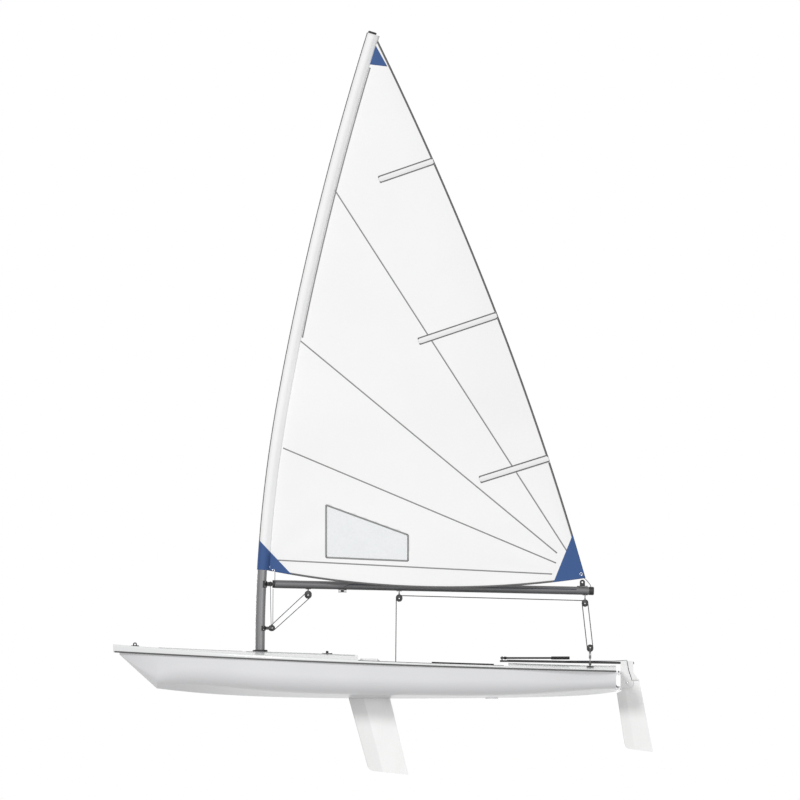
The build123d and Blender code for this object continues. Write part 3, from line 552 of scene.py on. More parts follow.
def mastTurn(z):
    first = mast["turns"][0]
    firstZ = mastAt(first).z
    if z <= mast["straightTop"]:
        return 0
    if z <= firstZ:
        return math.asin((z - mast["straightTop"]) / mast["radii"][0])
    return math.asin(math.sin(first) + (z - firstZ) / mast["radii"][1])


def aftOf(turn):        # square to the mast line, towards the stern
    return Vector((math.cos(turn), 0, -math.sin(turn)))


sail = {
    "tack": (-0.906, 1.002), "footLow": (0.547, 0.835), "clew": (1.845, 0.918), "head": (0.093, 5.444),
    "leechBulge": 0.109, "camber": 0.065, "across": 84, "upward": 170, "thickness": 0.0016, "trim": 0.0015,
    "sleeveRadius": 0.0425, "sleeveTail": 0.066, "sleeveFoot": 0.985, "sleeveSteps": 150, "sleeveWall": 0.0014,
    "overlap": 0.005, "flat": (2.76, 4.66),
}


def luffX(z):
    turn = mastTurn(z)
    return mastAt(turn).x + sail["sleeveRadius"] / math.cos(turn) - sail["overlap"]


def leechX(z):
    rise = sail["head"][1] - sail["clew"][1]
    run = sail["head"][0] - sail["clew"][0]
    share = (z - sail["clew"][1]) / rise
    bulge = 4 * share * (1 - share) * sail["leechBulge"] * math.hypot(rise, run) / rise
    return sail["clew"][0] + share * run + bulge


def circleThrough(a, b, c):
    (ax, ay), (bx, by), (cx, cy) = a, b, c
    first, second, third = (x * x + y * y for x, y in (a, b, c))
    d = 2 * (ax * (by - cy) + bx * (cy - ay) + cx * (ay - by))
    x = (first * (by - cy) + second * (cy - ay) + third * (ay - by)) / d
    y = (first * (cx - bx) + second * (ax - cx) + third * (bx - ax)) / d
    return x, y, math.hypot(ax - x, ay - y)


footCircle = circleThrough(sail["tack"], sail["footLow"], sail["clew"])


def footZ(x):
    x = min(max(x, sail["tack"][0]), sail["clew"][0])
    centreX, centreZ, radius = footCircle
    return centreZ - math.sqrt(radius ** 2 - (x - centreX) ** 2)


# Each corner's folds: where they start, their reach, height and number, and how far out they are highest
creases = [(sail["clew"], 0.30, 0.0035, 15), (sail["tack"], 0.28, 0.0030, 13), (sail["head"], 0.3, 0.0020, 11)]
creaseAway = 0.62


def ripple(x, z):       # the folds that fan out from the corners, and a slow waviness
    total = 0.0016 * math.sin(5.1 * x + 2.3 * z) * math.sin(3.7 * z - 1.9 * x)
    for (cornerX, cornerZ), reach, height, number in creases:
        away = math.hypot(x - cornerX, z - cornerZ)
        turn = math.atan2(z - cornerZ, x - cornerX)
        total += height * math.exp(-((away - creaseAway) / reach) ** 2) * math.sin(number * turn)
    return total * min(1, max(0, (x - luffX(z)) / 0.12)) * min(1, max(0, (leechX(z) - x) / 0.05))


def sailY(x, z):
    front, aft = luffX(z), leechX(z)
    chord = max(aft - front, 0.02)
    depth = sail["camber"] * chord
    radius = (chord ** 2 / 4 + depth ** 2) / (2 * depth)
    offset = min(max(x, front), aft) - (front + aft) / 2
    return -(math.sqrt(max(radius ** 2 - offset ** 2, 0)) - (radius - depth)) + ripple(x, z)


def sailPoint(across, upward):      # each pass brings the height closer to its share above the foot
    top = sail["head"][1]
    z = 0.9 + upward * (top - 0.9)
    for trial in range(12):
        x = luffX(z) + across * (leechX(z) - luffX(z))
        low = footZ(x)
        z = low + upward * (top - low)
    return luffX(z) + across * (leechX(z) - luffX(z)), z


window = {"corners": ((-0.321, 1.528), (0.363, 1.278), (0.363, 1.061), (-0.321, 1.090)),
          "border": 0.014, "borderLift": 0.0018, "film": 0.0006}


def around(corners):
    return list(zip(corners, corners[1:] + corners[:1]))


def cutPlanes(work, corners, keepInside):
    middle = Vector((sum(x for x, z in corners) / len(corners), 0, sum(z for x, z in corners) / len(corners)))
    planes = []
    for (ax, az), (bx, bz) in around(corners):
        start = Vector((ax, 0, az))
        normal = Vector((bz - az, 0, ax - bx)).normalized()
        if (middle - start).dot(normal) > 0:
            normal = -normal
        planes.append((start, normal))
    for start, normal in planes:
        if keepInside:
            geometry = wholeOf(work)
        else:
            near = [face for face in work.faces
                    if all((face.calc_center_median() - s).dot(n) < 0.05 for s, n in planes)]
            edges = {edge for face in near for edge in face.edges}
            verts = {vert for face in near for vert in face.verts}
            geometry = near + list(edges) + list(verts)
        cut(work, geometry, start, normal, keepInside)
    return planes


def cutWindow(work):        # gives the area of the cloth that is left
    planes = cutPlanes(work, window["corners"], False)
    hole = [face for face in work.faces
            if all((face.calc_center_median() - start).dot(normal) < 0 for start, normal in planes)]
    bmesh.ops.delete(work, geom=hole, context="FACES")
    return sum(face.calc_area() for face in work.faces)


def makeSailcloth():
    columns, rows = sail["across"], sail["upward"]
    points = []
    for row in range(rows + 1):
        for column in range(columns + 1):
            x, z = sailPoint(column / columns, row / rows)
            points.append((x, sailY(x, z), z))
    piece = meshPiece("sailcloth", points, quads(rows + 1, columns + 1), "rig", "cloth")
    area = reshape(piece, cutWindow)
    giveThickness(piece, sail["thickness"])
    return piece, area


def flatPatch(name, corners, lift, side, finish, thickness=0.0009, puff=None, step=0.02):
    lowX, highX = min(x for x, z in corners), max(x for x, z in corners)
    lowZ, highZ = min(z for x, z in corners), max(z for x, z in corners)
    work = bmesh.new()
    bmesh.ops.create_grid(work, x_segments=max(2, int((highX - lowX) / step)),
                          y_segments=max(2, int((highZ - lowZ) / step)), size=0.5)
    for vert in work.verts:
        vert.co = (lowX + (vert.co.x + 0.5) * (highX - lowX), 0, lowZ + (vert.co.y + 0.5) * (highZ - lowZ))
    cutPlanes(work, corners, True)
    trim = sail["trim"]
    for vert in work.verts:
        x, z = vert.co.x, vert.co.z
        z = min(max(z, footZ(x) + trim), sail["head"][1] - trim)
        x = min(max(x, luffX(z) + trim), leechX(z) - trim)
        extra = puff(x, z) if puff else 0
        vert.co = (x, sailY(x, z) + side * (lift + extra), z)
    mesh = bpy.data.meshes.new(name)
    work.to_mesh(mesh)
    work.free()
    piece = newObject(name, mesh)
    wear(piece, finish)
    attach(piece, "rig")
    tidyMesh(piece)
    giveThickness(piece, thickness)
    smooth(piece)
    return piece


tapes = {"width": 0.016, "lift": 0.0016, "thickness": 0.0007, "step": 0.03, "count": 60,
         "seamWidth": 0.011, "seamLift": 0.0013}


def strip(name, points, width, lift, side, finish):
    spots = smoothRun([(x, 0, z) for x, z in points], tapes["step"])
    verts, uvs, run = [], [], 0.0
    for index, spot in enumerate(spots):
        before, after = spots[max(index - 1, 0)], spots[min(index + 1, len(spots) - 1)]
        along = (after - before).normalized()
        out = Vector((along.z, 0, -along.x))
        run += (spot - before).length
        for share in (0, 0.5, 1):
            point = spot + out * width * (share - 0.5)
            verts.append((point.x, sailY(point.x, point.z) + side * lift, point.z))
            uvs.append((share, run))
    piece = meshPiece(name, verts, quads(len(spots), 3), "rig", finish, uvs)
    giveThickness(piece, tapes["thickness"])
    return piece


seams = [
    ((-0.2964, 4.233), (1.716, 1.102)),
    ((-0.6137, 2.964), (1.607, 1.127)),
    ((-0.680, 2.004), (1.599, 1.044)),
    ((-0.747, 1.069), (0.547, 1.002), (1.566, 0.952)),
]


def makeEdgeTapes():
    inset = tapes["width"] / 2
    heights = evenSteps(sail["clew"][1], sail["head"][1], tapes["count"])
    places = evenSteps(sail["tack"][0] + 0.085, sail["clew"][0] - 0.004, tapes["count"])
    lines = [("leechTape", [(leechX(z) - inset, z) for z in heights]),
             ("footTape", [(x, footZ(x) + inset) for x in places])]
    made = [strip(name, line, tapes["width"], tapes["lift"], side, "edgeTape")
            for side in (-1, 1) for name, line in lines]
    return joinPieces(made, "edgeTapes")


def makeSeams():
    made = [strip("seam", line, tapes["seamWidth"], tapes["seamLift"], side, "seamTape")
            for line in seams for side in (-1, 1)]
    return joinPieces(made, "panelSeams")


pocket = {"height": 0.062, "lift": 0.0018, "puff": 0.004, "step": 0.008, "inset": 0.005, "border": 0.010,
          "borderLift": 0.0032, "clear": 0.004}
battens = [("topPocket", (0.564, 4.430), 0.480, 19), ("middlePocket", (1.095, 3.142), 0.690, 18.5),
           ("lowerPocket", (1.545, 1.950), 0.620, 17)]


def pocketCorners(corner, length, turn, inset=0.0):
    along = Vector((-math.cos(turn), -math.sin(turn)))
    down = Vector((math.sin(turn), -math.cos(turn)))
    aft, low = length - inset, pocket["height"] - inset
    return [tuple(Vector(corner) + along * far + down * fall)
            for far, fall in ((inset, inset), (aft, inset), (aft, low), (inset, low))]


def makePockets():
    cloth, borders = [], []
    half = pocket["height"] / 2
    for name, corner, length, fall in battens:
        turn = math.radians(fall)

        def puff(x, z, corner=corner, turn=turn):
            low = (x - corner[0]) * math.sin(turn) - (z - corner[1]) * math.cos(turn)
            return pocket["puff"] * max(0, 1 - ((low - half) / (half * 0.64)) ** 2)

        corners = pocketCorners(corner, length, turn)
        edge = [(min(x, leechX(z) - pocket["clear"]), z)
                for x, z in pocketCorners(corner, length, turn, pocket["inset"])]
        for side in (-1, 1):
            cloth.append(flatPatch(name, corners, pocket["lift"], side, "pocket", puff=puff, step=pocket["step"]))
            borders += [strip(name + "Border", ends, pocket["border"], pocket["borderLift"], side, "thread")
                        for ends in around(edge)]
    return joinPieces(cloth, "battenPockets"), joinPieces(borders, "pocketBorders")


patches = [
    ("headPatch", [(-0.02, 5.215), (0.190, 5.190), (0.060, 5.425), (-0.10, 5.425)]),
    ("tackPatch", [(-0.881, 1.236), (-0.950, 0.900), (-0.564, 0.900)]),
    ("clewPatch", [(1.740, 1.285), (2.0, 1.05), (2.0, 0.85), (1.565, 0.85)]),
]


def makePatches():
    made = [flatPatch(name, corners, 0.0020, side, "patch", step=0.012)
            for name, corners in patches for side in (-1, 1)]
    return joinPieces(made, "cornerPatches")


def makeWindow():
    film = flatPatch("windowFilm", window["corners"], 0.0, 1, "film", thickness=window["film"])
    borders = [strip("windowBorder", ends, window["border"], window["borderLift"], side, "seamTape")
               for side in (-1, 1) for ends in around(window["corners"])]
    return film, joinPieces(borders, "windowBorder")


# The luff sleeve, and what is sewn round it

def sleeveArc(count):       # the sleeve's round part, at radius 1, from one side of its tail to the other
    half = math.acos(sail["sleeveRadius"] / sail["sleeveTail"])
    return [(math.cos(turn), math.sin(turn)) for turn in evenSteps(half, 2 * math.pi - half, count)]


def alongMast(low, high, steps, profile, swell=lambda step, index: 1):
    points = []
    for step, turn in enumerate(evenSteps(low, high, steps)):
        centre, aft = mastAt(turn), aftOf(turn)
        for index, (along, side) in enumerate(profile):
            points.append(centre + (aft * along + Vector((0, side, 0))) * swell(step, index))
    return points


def pucker(step, index):
    return 1 + 0.012 * math.sin(step * 1.9 + 3 * math.sin(step * 0.37)) * math.sin(index * 0.6)


def makeSleeve():
    radius, tail, steps = sail["sleeveRadius"], sail["sleeveTail"], sail["sleeveSteps"]
    profile = [(x * radius, y * radius) for x, y in sleeveArc(28)]
    edgeX, edgeY = profile[0]
    for share, side in ((0.5, -1), (1.0, -1), (0.5, 1)):
        profile.append((edgeX + (tail - edgeX) * share, side * edgeY * (1 - share)))
    count = len(profile)
    points = alongMast(mastTurn(sail["sleeveFoot"]), mast["turns"][1], steps, profile, pucker)
    uvs = [(index / count, step / steps * 4.5) for step in range(steps + 1) for index in range(count)]
    piece = meshPiece("luffSleeve", points, quads(steps + 1, count, across=True), "rig", "cloth", uvs)
    tidyMesh(piece)
    giveThickness(piece, sail["sleeveWall"])
    return piece


sleeveSeam = {"low": 2.939, "top": 5.20, "count": 80, "front": -0.004, "width": 0.011, "pitch": 0.0284}


def makeSleeveSeam():
    made = []
    heights = evenSteps(sleeveSeam["low"], sleeveSeam["top"], sleeveSeam["count"])
    for side in (-1, 1):
        points, uvs = [], []
        for index, z in enumerate(heights):
            turn = mastTurn(z)
            for share in (0, 1):
                reach = sail["sleeveTail"] + sleeveSeam["front"] + share * sleeveSeam["width"]
                spot = mastAt(turn) + aftOf(turn) * reach
                y = sailY(spot.x, spot.z)
                points.append((spot.x, min(-0.004, y) - 0.002 if side < 0 else y + 0.0035, spot.z))
                uvs.append((share, index * sleeveSeam["pitch"]))
        seam = meshPiece("sleeveSeam", points, quads(len(heights), 2), "rig", "seamTape", uvs)
        giveThickness(seam, tapes["thickness"])
        made.append(seam)
    return joinPieces(made, "sleeveSeam")


def makeSail():
    cloth, area = makeSailcloth()
    sleeve = makeSleeve()
    seam = makeSleeveSeam()
    edges = makeEdgeTapes()
    panels = makeSeams()
    pockets, borders = makePockets()
    corners = makePatches()
    film, filmBorder = makeWindow()
    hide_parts("sail")
    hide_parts("luff_sleeve")
    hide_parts("batten_pockets")
    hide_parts("corner_patches")
    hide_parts("sail_window")
    print("sail made, area", round(area, 3))


makeSail()

shell = {"steps": 60, "thickness": 0.0008, "pipingLift": 0.0012, "wrapLift": 0.0016, "pitch": 0.075}


def sleeveShell(name, low, high, lift, arc, finish, uvs=None):      # part of the sleeve's skin, lifted off it
    radius = sail["sleeveRadius"] + lift
    points = alongMast(mastTurn(low), high, shell["steps"], [(x * radius, y * radius) for x, y in arc])
    return meshPiece(name, points, quads(shell["steps"] + 1, len(arc)), "rig", finish, uvs)


def makeLuffPiping():
    arc = [(-x, y) for x, y in arcSpots((0, 0), 1, -32, 32, 8)]
    count = len(arc)
    uvs = [(index / (count - 1), step * shell["pitch"])
           for step in range(shell["steps"] + 1) for index in range(count)]
    piece = sleeveShell("luffPiping", sail["sleeveFoot"] + 0.002, mast["turns"][1], shell["pipingLift"], arc,
                        "edgeTape", uvs)
    giveThickness(piece, shell["thickness"])
    return piece


def makeTackWrap():
    tail = sail["sleeveTail"] / sail["sleeveRadius"]
    arc = [(tail, 0.06)] + sleeveArc(36) + [(tail, -0.06)]
    piece = sleeveShell("tackWrap", 0.9865, mastTurn(1.30), shell["wrapLift"], arc, "patch")
    reshape(piece, lambda work: cut(work, wholeOf(work), (-0.881, 0, 1.236), (0.301, 0, 0.284), True))
    giveThickness(piece, shell["thickness"])
    return piece


makeLuffPiping()
makeTackWrap()
print("sleeve trimmed")


# Modelling by hand: small tools that the fittings share

def settle(name, finish):
    piece = bpy.context.object
    piece.name = name
    piece.data.name = name
    bpy.ops.object.transform_apply(location=True, rotation=True, scale=True)
    wear(piece, finish)
    return piece


def box(name, size, place, finish):
    clearSelection()
    bpy.ops.mesh.primitive_cube_add(size=1, location=place, scale=size)
    return settle(name, finish)


def disc(name, radius, depth, place, finish, sides, turn):
    clearSelection()
    bpy.ops.mesh.primitive_cylinder_add(vertices=sides, radius=radius, depth=depth, location=place,
                                        rotation=radians(turn))
    return settle(name, finish)


def ringBar(name, radius, bar, place, finish, turn, stretch=1.0):
    clearSelection()
    bpy.ops.mesh.primitive_torus_add(major_segments=32, minor_segments=12, major_radius=radius,
                                     minor_radius=bar, location=place, rotation=radians(turn))
    bpy.context.object.scale = (1, stretch, 1)
    return settle(name, finish)


def pick(piece, kind, test):        # opens edit mode with the faces or the points that pass the test
    active(piece)
    bpy.ops.object.mode_set(mode="EDIT")
    bpy.ops.mesh.select_mode(type=kind)
    bpy.ops.mesh.select_all(action="DESELECT")
    work = bmesh.from_edit_mesh(piece.data)
    for part in work.faces if kind == "FACE" else work.verts:
        part.select = bool(test(part))
    work.select_flush(True)
    bmesh.update_edit_mesh(piece.data)


def doneEditing():
    bpy.ops.object.mode_set(mode="OBJECT")


def insetExtrude(inset, depth):
    bpy.ops.mesh.inset(thickness=inset, depth=0)
    bpy.ops.mesh.extrude_region_move()
    bpy.ops.transform.shrink_fatten(value=depth)


def smoothTo(piece, angle):
    active(piece)
    bpy.ops.object.shade_smooth_by_angle(angle=math.radians(angle))
    return piece


def bevel(piece, width, segments=2):
    active(piece)
    edge = piece.modifiers.new("edge", "BEVEL")
    edge.width = width
    edge.segments = segments
    edge.limit_method = "ANGLE"
    edge.angle_limit = math.radians(35)
    bpy.ops.object.modifier_apply(modifier=edge.name)
    return smoothTo(piece, 40)


def turned(name, rings, place, finish, sides=32, turn=(0, 0, 0)):      # a lathe form from (radius, height) rings
    clearSelection()
    bpy.ops.mesh.primitive_circle_add(vertices=sides, radius=rings[0][0], fill_type="NGON",
                                      location=(0, 0, rings[0][1]))
    piece = bpy.context.object
    bpy.ops.object.transform_apply(location=True, rotation=True, scale=True)
    bpy.ops.object.mode_set(mode="EDIT")
    bpy.ops.mesh.select_all(action="SELECT")
    for (radius, height), (nextRadius, nextHeight) in zip(rings, rings[1:]):
        bpy.ops.mesh.extrude_region_move(TRANSFORM_OT_translate={"value": (0, 0, nextHeight - height)})
        share = nextRadius / radius
        bpy.ops.transform.resize(value=(share, share, 1), center_override=(0, 0, nextHeight))
    doneEditing()
    piece.rotation_euler = radians(turn)
    piece.location = place
    piece = settle(name, finish)
    tidyMesh(piece, 0.00001)
    return smoothTo(piece, 40)


def copyOf(master, name, matrix):
    piece = newObject(name, master.data.copy())
    piece.data.name = name
    piece.data.transform(matrix)
    return piece


def discard(piece):
    bpy.data.objects.remove(piece, do_unlink=True)


# Blocks

block = {"radius": 0.024, "cheekReach": 0.028, "cheekOut": 0.0070, "cheekThick": 0.003, "stretch": 0.007,
         "strapWidth": 0.010, "strapThick": 0.0012, "strapLong": 0.056, "crown": (0.014, 0.0190, 0.006),
         "plate": (0.044, 0.017, 0.003), "rivetOut": 0.015}


def makeBlockMaster():
    parts = []
    out = block["cheekOut"]
    for side in (-1, 1):
        cheek = disc("cheek", block["cheekReach"], block["cheekThick"], (0, side * out, 0), "plastic", 40,
                     (90, 0, 0))
        pick(cheek, "VERT", lambda vert: vert.co.z > 0.002)
        bpy.ops.transform.translate(value=(0, 0, block["stretch"]))
        doneEditing()
        pick(cheek, "FACE", lambda face: face.normal.y * side > 0.9)
        insetExtrude(0.0035, -0.0008)
        insetExtrude(0.006, 0.0010)
        doneEditing()
        parts.append(bevel(cheek, 0.0005))
        strap = box("strap", (block["strapWidth"], block["strapThick"], block["strapLong"]),
                    (0, side * (out + 0.0024), 0.018), "dullPlastic")
        pick(strap, "FACE", lambda face: face.normal.z < -0.9)
        bpy.ops.mesh.extrude_region_move(TRANSFORM_OT_translate={"value": (0, 0, -0.004)})
        bpy.ops.transform.resize(value=(0.5, 1, 1))
        doneEditing()
        parts.append(bevel(strap, 0.0003))
        parts.append(turned("pinHead", [(0.0052, 0), (0.0052, 0.0010), (0.0044, 0.0018), (0.0022, 0.0022)],
                            (0, side * (out + 0.0028), 0), "steel", 20, (-90 * side, 0, 0)))
    parts.append(turned("sheave", [(0.006, -0.0048), (0.024, -0.0050), (0.0245, -0.0042), (0.0205, 0),
                                   (0.0245, 0.0042), (0.024, 0.0050), (0.006, 0.0048)], (0, 0, 0),
                        "dullPlastic", 40, (90, 0, 0)))
    parts.append(bevel(box("crown", block["crown"], (0, 0, 0.0455), "dullPlastic"), 0.0012, 3))
    return joinPieces(parts, "blockMaster")


def makeHanger(name, length, radius):      # a bail and its plate, standing on a block's crown
    base = 0.046 * radius / block["radius"]
    parts = []
    if length > base + 0.012:
        parts.append(ringBar("bail", 0.0065, 0.0019, (0, 0, base + 0.006), "dullPlastic", (90, 0, 90)))
        stem = [(0.004, base + 0.006), (0.004, length - 0.004), (0.007, length - 0.003)]
        parts.append(turned("stem", stem, (0, 0, 0), "dullPlastic", 20))
    plate = box("plate", block["plate"], (0, 0, length - block["plate"][2] / 2), "dullPlastic")
    parts.append(bevel(plate, 0.0008))
    for along in (-block["rivetOut"], block["rivetOut"]):
        parts.append(turned("rivet", [(0.0034, 0), (0.0030, 0.0010), (0.0016, 0.0017)],
                            (along, 0, length - block["plate"][2]), "steel", 14, (180, 0, 0)))
    return joinPieces(parts, name)


# Each block's name, node, body, place, radius, turn about Y, reach of its hanger and turn about Z
blockPlaces = [
    ("boomMidBlock", "boom_mid_block", "rig", (0.289, 0, 0.748), 0.024, 0, 0.0625, 0),
    ("boomAftBlock", "boom_aft_block", "rig", (1.841, 0, 0.706), 0.024, 0, 0.0712, 0),
    ("vangBoomBlock", "vang_boom_block", "rig", (-0.471, 0, 0.776), 0.026, 0, 0.0515, 0),
    ("vangMastBlock", "vang_mast_block", "rig", (-0.772, 0, 0.500), 0.022, -90, 0, 0),
    ("ratchetBlock", "ratchet_block", "hull", (0.291, 0, 0.088), 0.032, 180, 0.0755, 0),
    ("sheetLowerBlock", "sheet_lower_block", "hull", (1.883, 0, 0.336), 0.024, 180, 0, 0),
    ("travellerBlock", "traveller_block", "hull", (1.883, 0, 0.256), 0.0125, 0, 0, 90),
]


def makeBlocks():
    master = makeBlockMaster()
    for name, node, body, place, radius, turnY, reach, turnZ in blockPlaces:
        size = radius / block["radius"]
        turn = Matrix.Rotation(math.radians(turnY), 4, "Y") @ Matrix.Rotation(math.radians(turnZ), 4, "Z")
        wide = 1.0 if radius > 0.02 else 0.95
        piece = copyOf(master, name, Matrix.Diagonal((size, wide, size, 1)))
        if reach:
            piece = joinPieces([piece, makeHanger(name + "Hanger", reach, radius)], name)
        piece.data.transform(Matrix.Translation(place) @ turn)
        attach(piece, body)
        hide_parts(node)
    discard(master)
    link = ringBar("travellerShackle", 0.0085, 0.0024, (1.883, 0, 0.2905), "steel", (90, 0, 0), 1.5)
    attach(link, "hull")


makeBlocks()
print("blocks made")


# Ropes: tubes along runs and round sheaves

def tubeAlong(name, points, radius, finish, body=None, sides=12, closed=False):
    spots = [Vector(point) for point in points]
    count = len(spots)
    verts, uvs, run = [], [], 0.0
    normal = None
    for index, spot in enumerate(spots):
        before = spots[(index - 1) % count] if closed or index else spots[0]
        after = spots[(index + 1) % count] if closed or index < count - 1 else spots[-1]
        along = (after - before).normalized()
        if normal is None:
            normal = along.orthogonal().normalized()
        normal = (normal - along * normal.dot(along)).normalized()
        other = along.cross(normal)
        run += (spot - spots[index - 1]).length if index else 0
        for side in range(sides):
            turn = 2 * math.pi * side / sides
            verts.append(spot + (normal * math.cos(turn) + other * math.sin(turn)) * radius)
            uvs.append((side / sides, run))
    faces = quads(count, sides, True, closed)
    if not closed:
        faces.append(tuple(range(sides))[::-1])
        faces.append(tuple(range((count - 1) * sides, count * sides)))
    piece = meshPiece(name, verts, faces, body, finish, uvs)
    layer = piece.data.uv_layers[0]
    for face in piece.data.polygons:        # the last face of a ring ends at 1, not back at 0
        loops = list(face.loop_indices)
        if len(loops) == 4 and max(layer.data[loop].uv.x for loop in loops) > 0.8:
            for loop in loops:
                if layer.data[loop].uv.x < 0.01:
                    layer.data[loop].uv.x = 1.0
    reshape(piece, faceOut)
    return piece


def wheelArc(centre, radius, start, end, count=14):     # round a sheave, in the boat's side view
    return [(x, 0, z) for x, z in arcSpots(centre, radius, start, end, count)]


def knot(name, place, size, radius, finish, body, turn=0):      # a trefoil
    tilt = Matrix.Rotation(math.radians(turn), 3, "X")
    spots = []
    for angle in evenSteps(0, 2 * math.pi, 72)[:-1]:
        spot = Vector((math.sin(angle) + 2 * math.sin(2 * angle), math.cos(angle) - 2 * math.cos(2 * angle),
                       -1.1 * math.sin(3 * angle))) * size
        spots.append(tilt @ spot + Vector(place))
    return tubeAlong(name, spots, radius, finish, body, 10, True)


sheet = {"radius": 0.0040, "midWheel": (0.289, 0.748), "aftWheel": (1.841, 0.706), "lowWheel": (1.883, 0.336),
         "ratchet": (0.291, 0.088), "wheel": 0.024, "ratchetWheel": 0.032,
         "tail": [(0.402, 0.0, 0.022), (0.372, 0, 0.030), (0.345, 0, 0.045)],
         "end": [(1.8185, 0, 0.690), (1.8215, 0, 0.716)]}


def tangentAngle(first, firstRadius, second, secondRadius, side):
    run = Vector((second[0] - first[0], second[1] - first[1]))
    return math.degrees(math.atan2(run.y, run.x) + side * math.acos((firstRadius - secondRadius) / run.length))


def makeMainsheet():
    wheel = sheet["wheel"]
    rise = tangentAngle(sheet["ratchet"], sheet["ratchetWheel"], sheet["midWheel"], wheel, 1)
    boomTop = tangentAngle(sheet["midWheel"], wheel, sheet["aftWheel"], wheel, 1)
    path = sheet["tail"] + wheelArc(sheet["ratchet"], sheet["ratchetWheel"], -22, rise - 360, 24)
    path += wheelArc(sheet["midWheel"], wheel, rise, boomTop)
    path += wheelArc(sheet["aftWheel"], wheel, boomTop, boomTop - 4, 2)
    first = tubeAlong("mainsheetForward", smoothRun(path), sheet["radius"], "sheet")
    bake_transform(first)
    end = knot("sheetKnot", (0.402, 0, 0.0235), 0.0038, 0.0038, "sheet", "hull", 90)
    fall = tangentAngle(sheet["aftWheel"], wheel, sheet["lowWheel"], wheel, 1)
    path = wheelArc(sheet["aftWheel"], wheel, boomTop - 4, fall)
    path += wheelArc(sheet["lowWheel"], wheel, fall, fall - 185) + sheet["end"]
    second = tubeAlong("mainsheetAft", smoothRun(path), sheet["radius"], "sheet")
    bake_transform(second)


vang = {"low": (-0.772, 0.500), "lowRadius": 0.0225, "high": (-0.471, 0.776), "highRadius": 0.0260, "line": 0.0033}


def makeVangLine():
    wheels = (vang["low"], vang["lowRadius"], vang["high"], vang["highRadius"])
    lowAngle, highAngle = tangentAngle(*wheels, 1), tangentAngle(*wheels, -1)
    path = wheelArc(vang["low"], vang["lowRadius"], lowAngle, highAngle + 360, 20)
    path += wheelArc(vang["high"], vang["highRadius"], highAngle, lowAngle, 20)
    line = tubeAlong("vangLine", smoothRun(path + path[:1])[:-1], vang["line"], "line", "rig", 12, True)


controlLines = [
    ("downhaul", [(-0.7860, 0.010, 0.846), (-0.7840, 0.010, 0.700), (-0.7800, 0.010, 0.528)], 0.0024),
    ("vangTail", [(-0.7640, -0.011, 0.828), (-0.7650, -0.011, 0.700), (-0.7660, -0.011, 0.524)], 0.0024),
    ("cunningham", [(-0.7480, -0.062, 0.972), (-0.7480, -0.060, 0.955), (-0.7490, -0.046, 0.905),
                    (-0.7500, -0.040, 0.868)], 0.0026),
    ("outhaulLine", [(1.8250, -0.004, 0.925), (1.8500, -0.010, 0.905), (1.8840, -0.018, 0.862),
                     (1.8900, -0.020, 0.846)], 0.0028),
    ("outhaulTail", [(1.7700, -0.037, 0.824), (0.9, -0.0375, 0.842), (-0.12, -0.0375, 0.8655),
                     (-0.172, -0.030, 0.8430), (-0.178, -0.012, 0.8240)], 0.0026),
    ("rudderDownhaul", [(2.235, -0.0218, 0.060), (2.205, -0.0225, 0.150), (2.190, -0.0215, 0.232),
                        (2.080, -0.0190, 0.226), (1.720, -0.0185, 0.227)], 0.0022),
]


def makeControlLines():
    for name, points, radius in controlLines:
        body = "rudder" if name.startswith("rudder") else "rig"
        tubeAlong(name, smoothRun(points), radius, "line", body)


traveller = {"x": 1.883, "eyeY": 0.420, "eyeZ": 0.202, "apexZ": 0.273, "radius": 0.004}


def makeTravellerLine():
    x, out, low, high = traveller["x"], traveller["eyeY"], traveller["eyeZ"], traveller["apexZ"]
    half = [(x, out + 0.030, low - 0.001), (x, out, low + 0.0005), (x, 0.03, high - 0.006),
            (x, 0.015, high - 0.0022), (x, 0, high)]
    path = half + [(px, -py, pz) for px, py, pz in half[-2::-1]]
    rope = tubeAlong("travellerRope", smoothRun(path), traveller["radius"], "sheet", "hull")
    knots = [knot("travellerKnot", (x, side * (out + 0.026), low), 0.0032, 0.0036, "sheet", "hull")
             for side in (-1, 1)]
    rope = joinPieces([rope] + knots, "travellerRope")
    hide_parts("traveller_line")


makeMainsheet()
makeVangLine()
makeControlLines()
makeTravellerLine()
print("ropes made")


# Trim on the hull

hullForm = {"length": 4.2, "sheerBow": 0.298, "sheerMid": 0.198, "sheerStern": 0.134, "railRise": 0.028}


def sheerZ(x):
    slope = (hullForm["sheerStern"] - hullForm["sheerBow"]) / hullForm["length"]
    sag = (hullForm["sheerStern"] + hullForm["sheerBow"]) / 2 - hullForm["sheerMid"]
    return hullForm["sheerMid"] + slope * x + sag * (x / (hullForm["length"] / 2)) ** 2


rubStrip = {"front": -2.085, "aft": 2.0985, "count": 120, "tall": 0.013, "proud": 0.005, "height": 0.006,
            "profile": [(-0.001, 0.5), (0.55, 0.5), (0.9, 0.3), (1.0, 0), (0.9, -0.3), (0.55, -0.5),
                        (-0.001, -0.5)]}


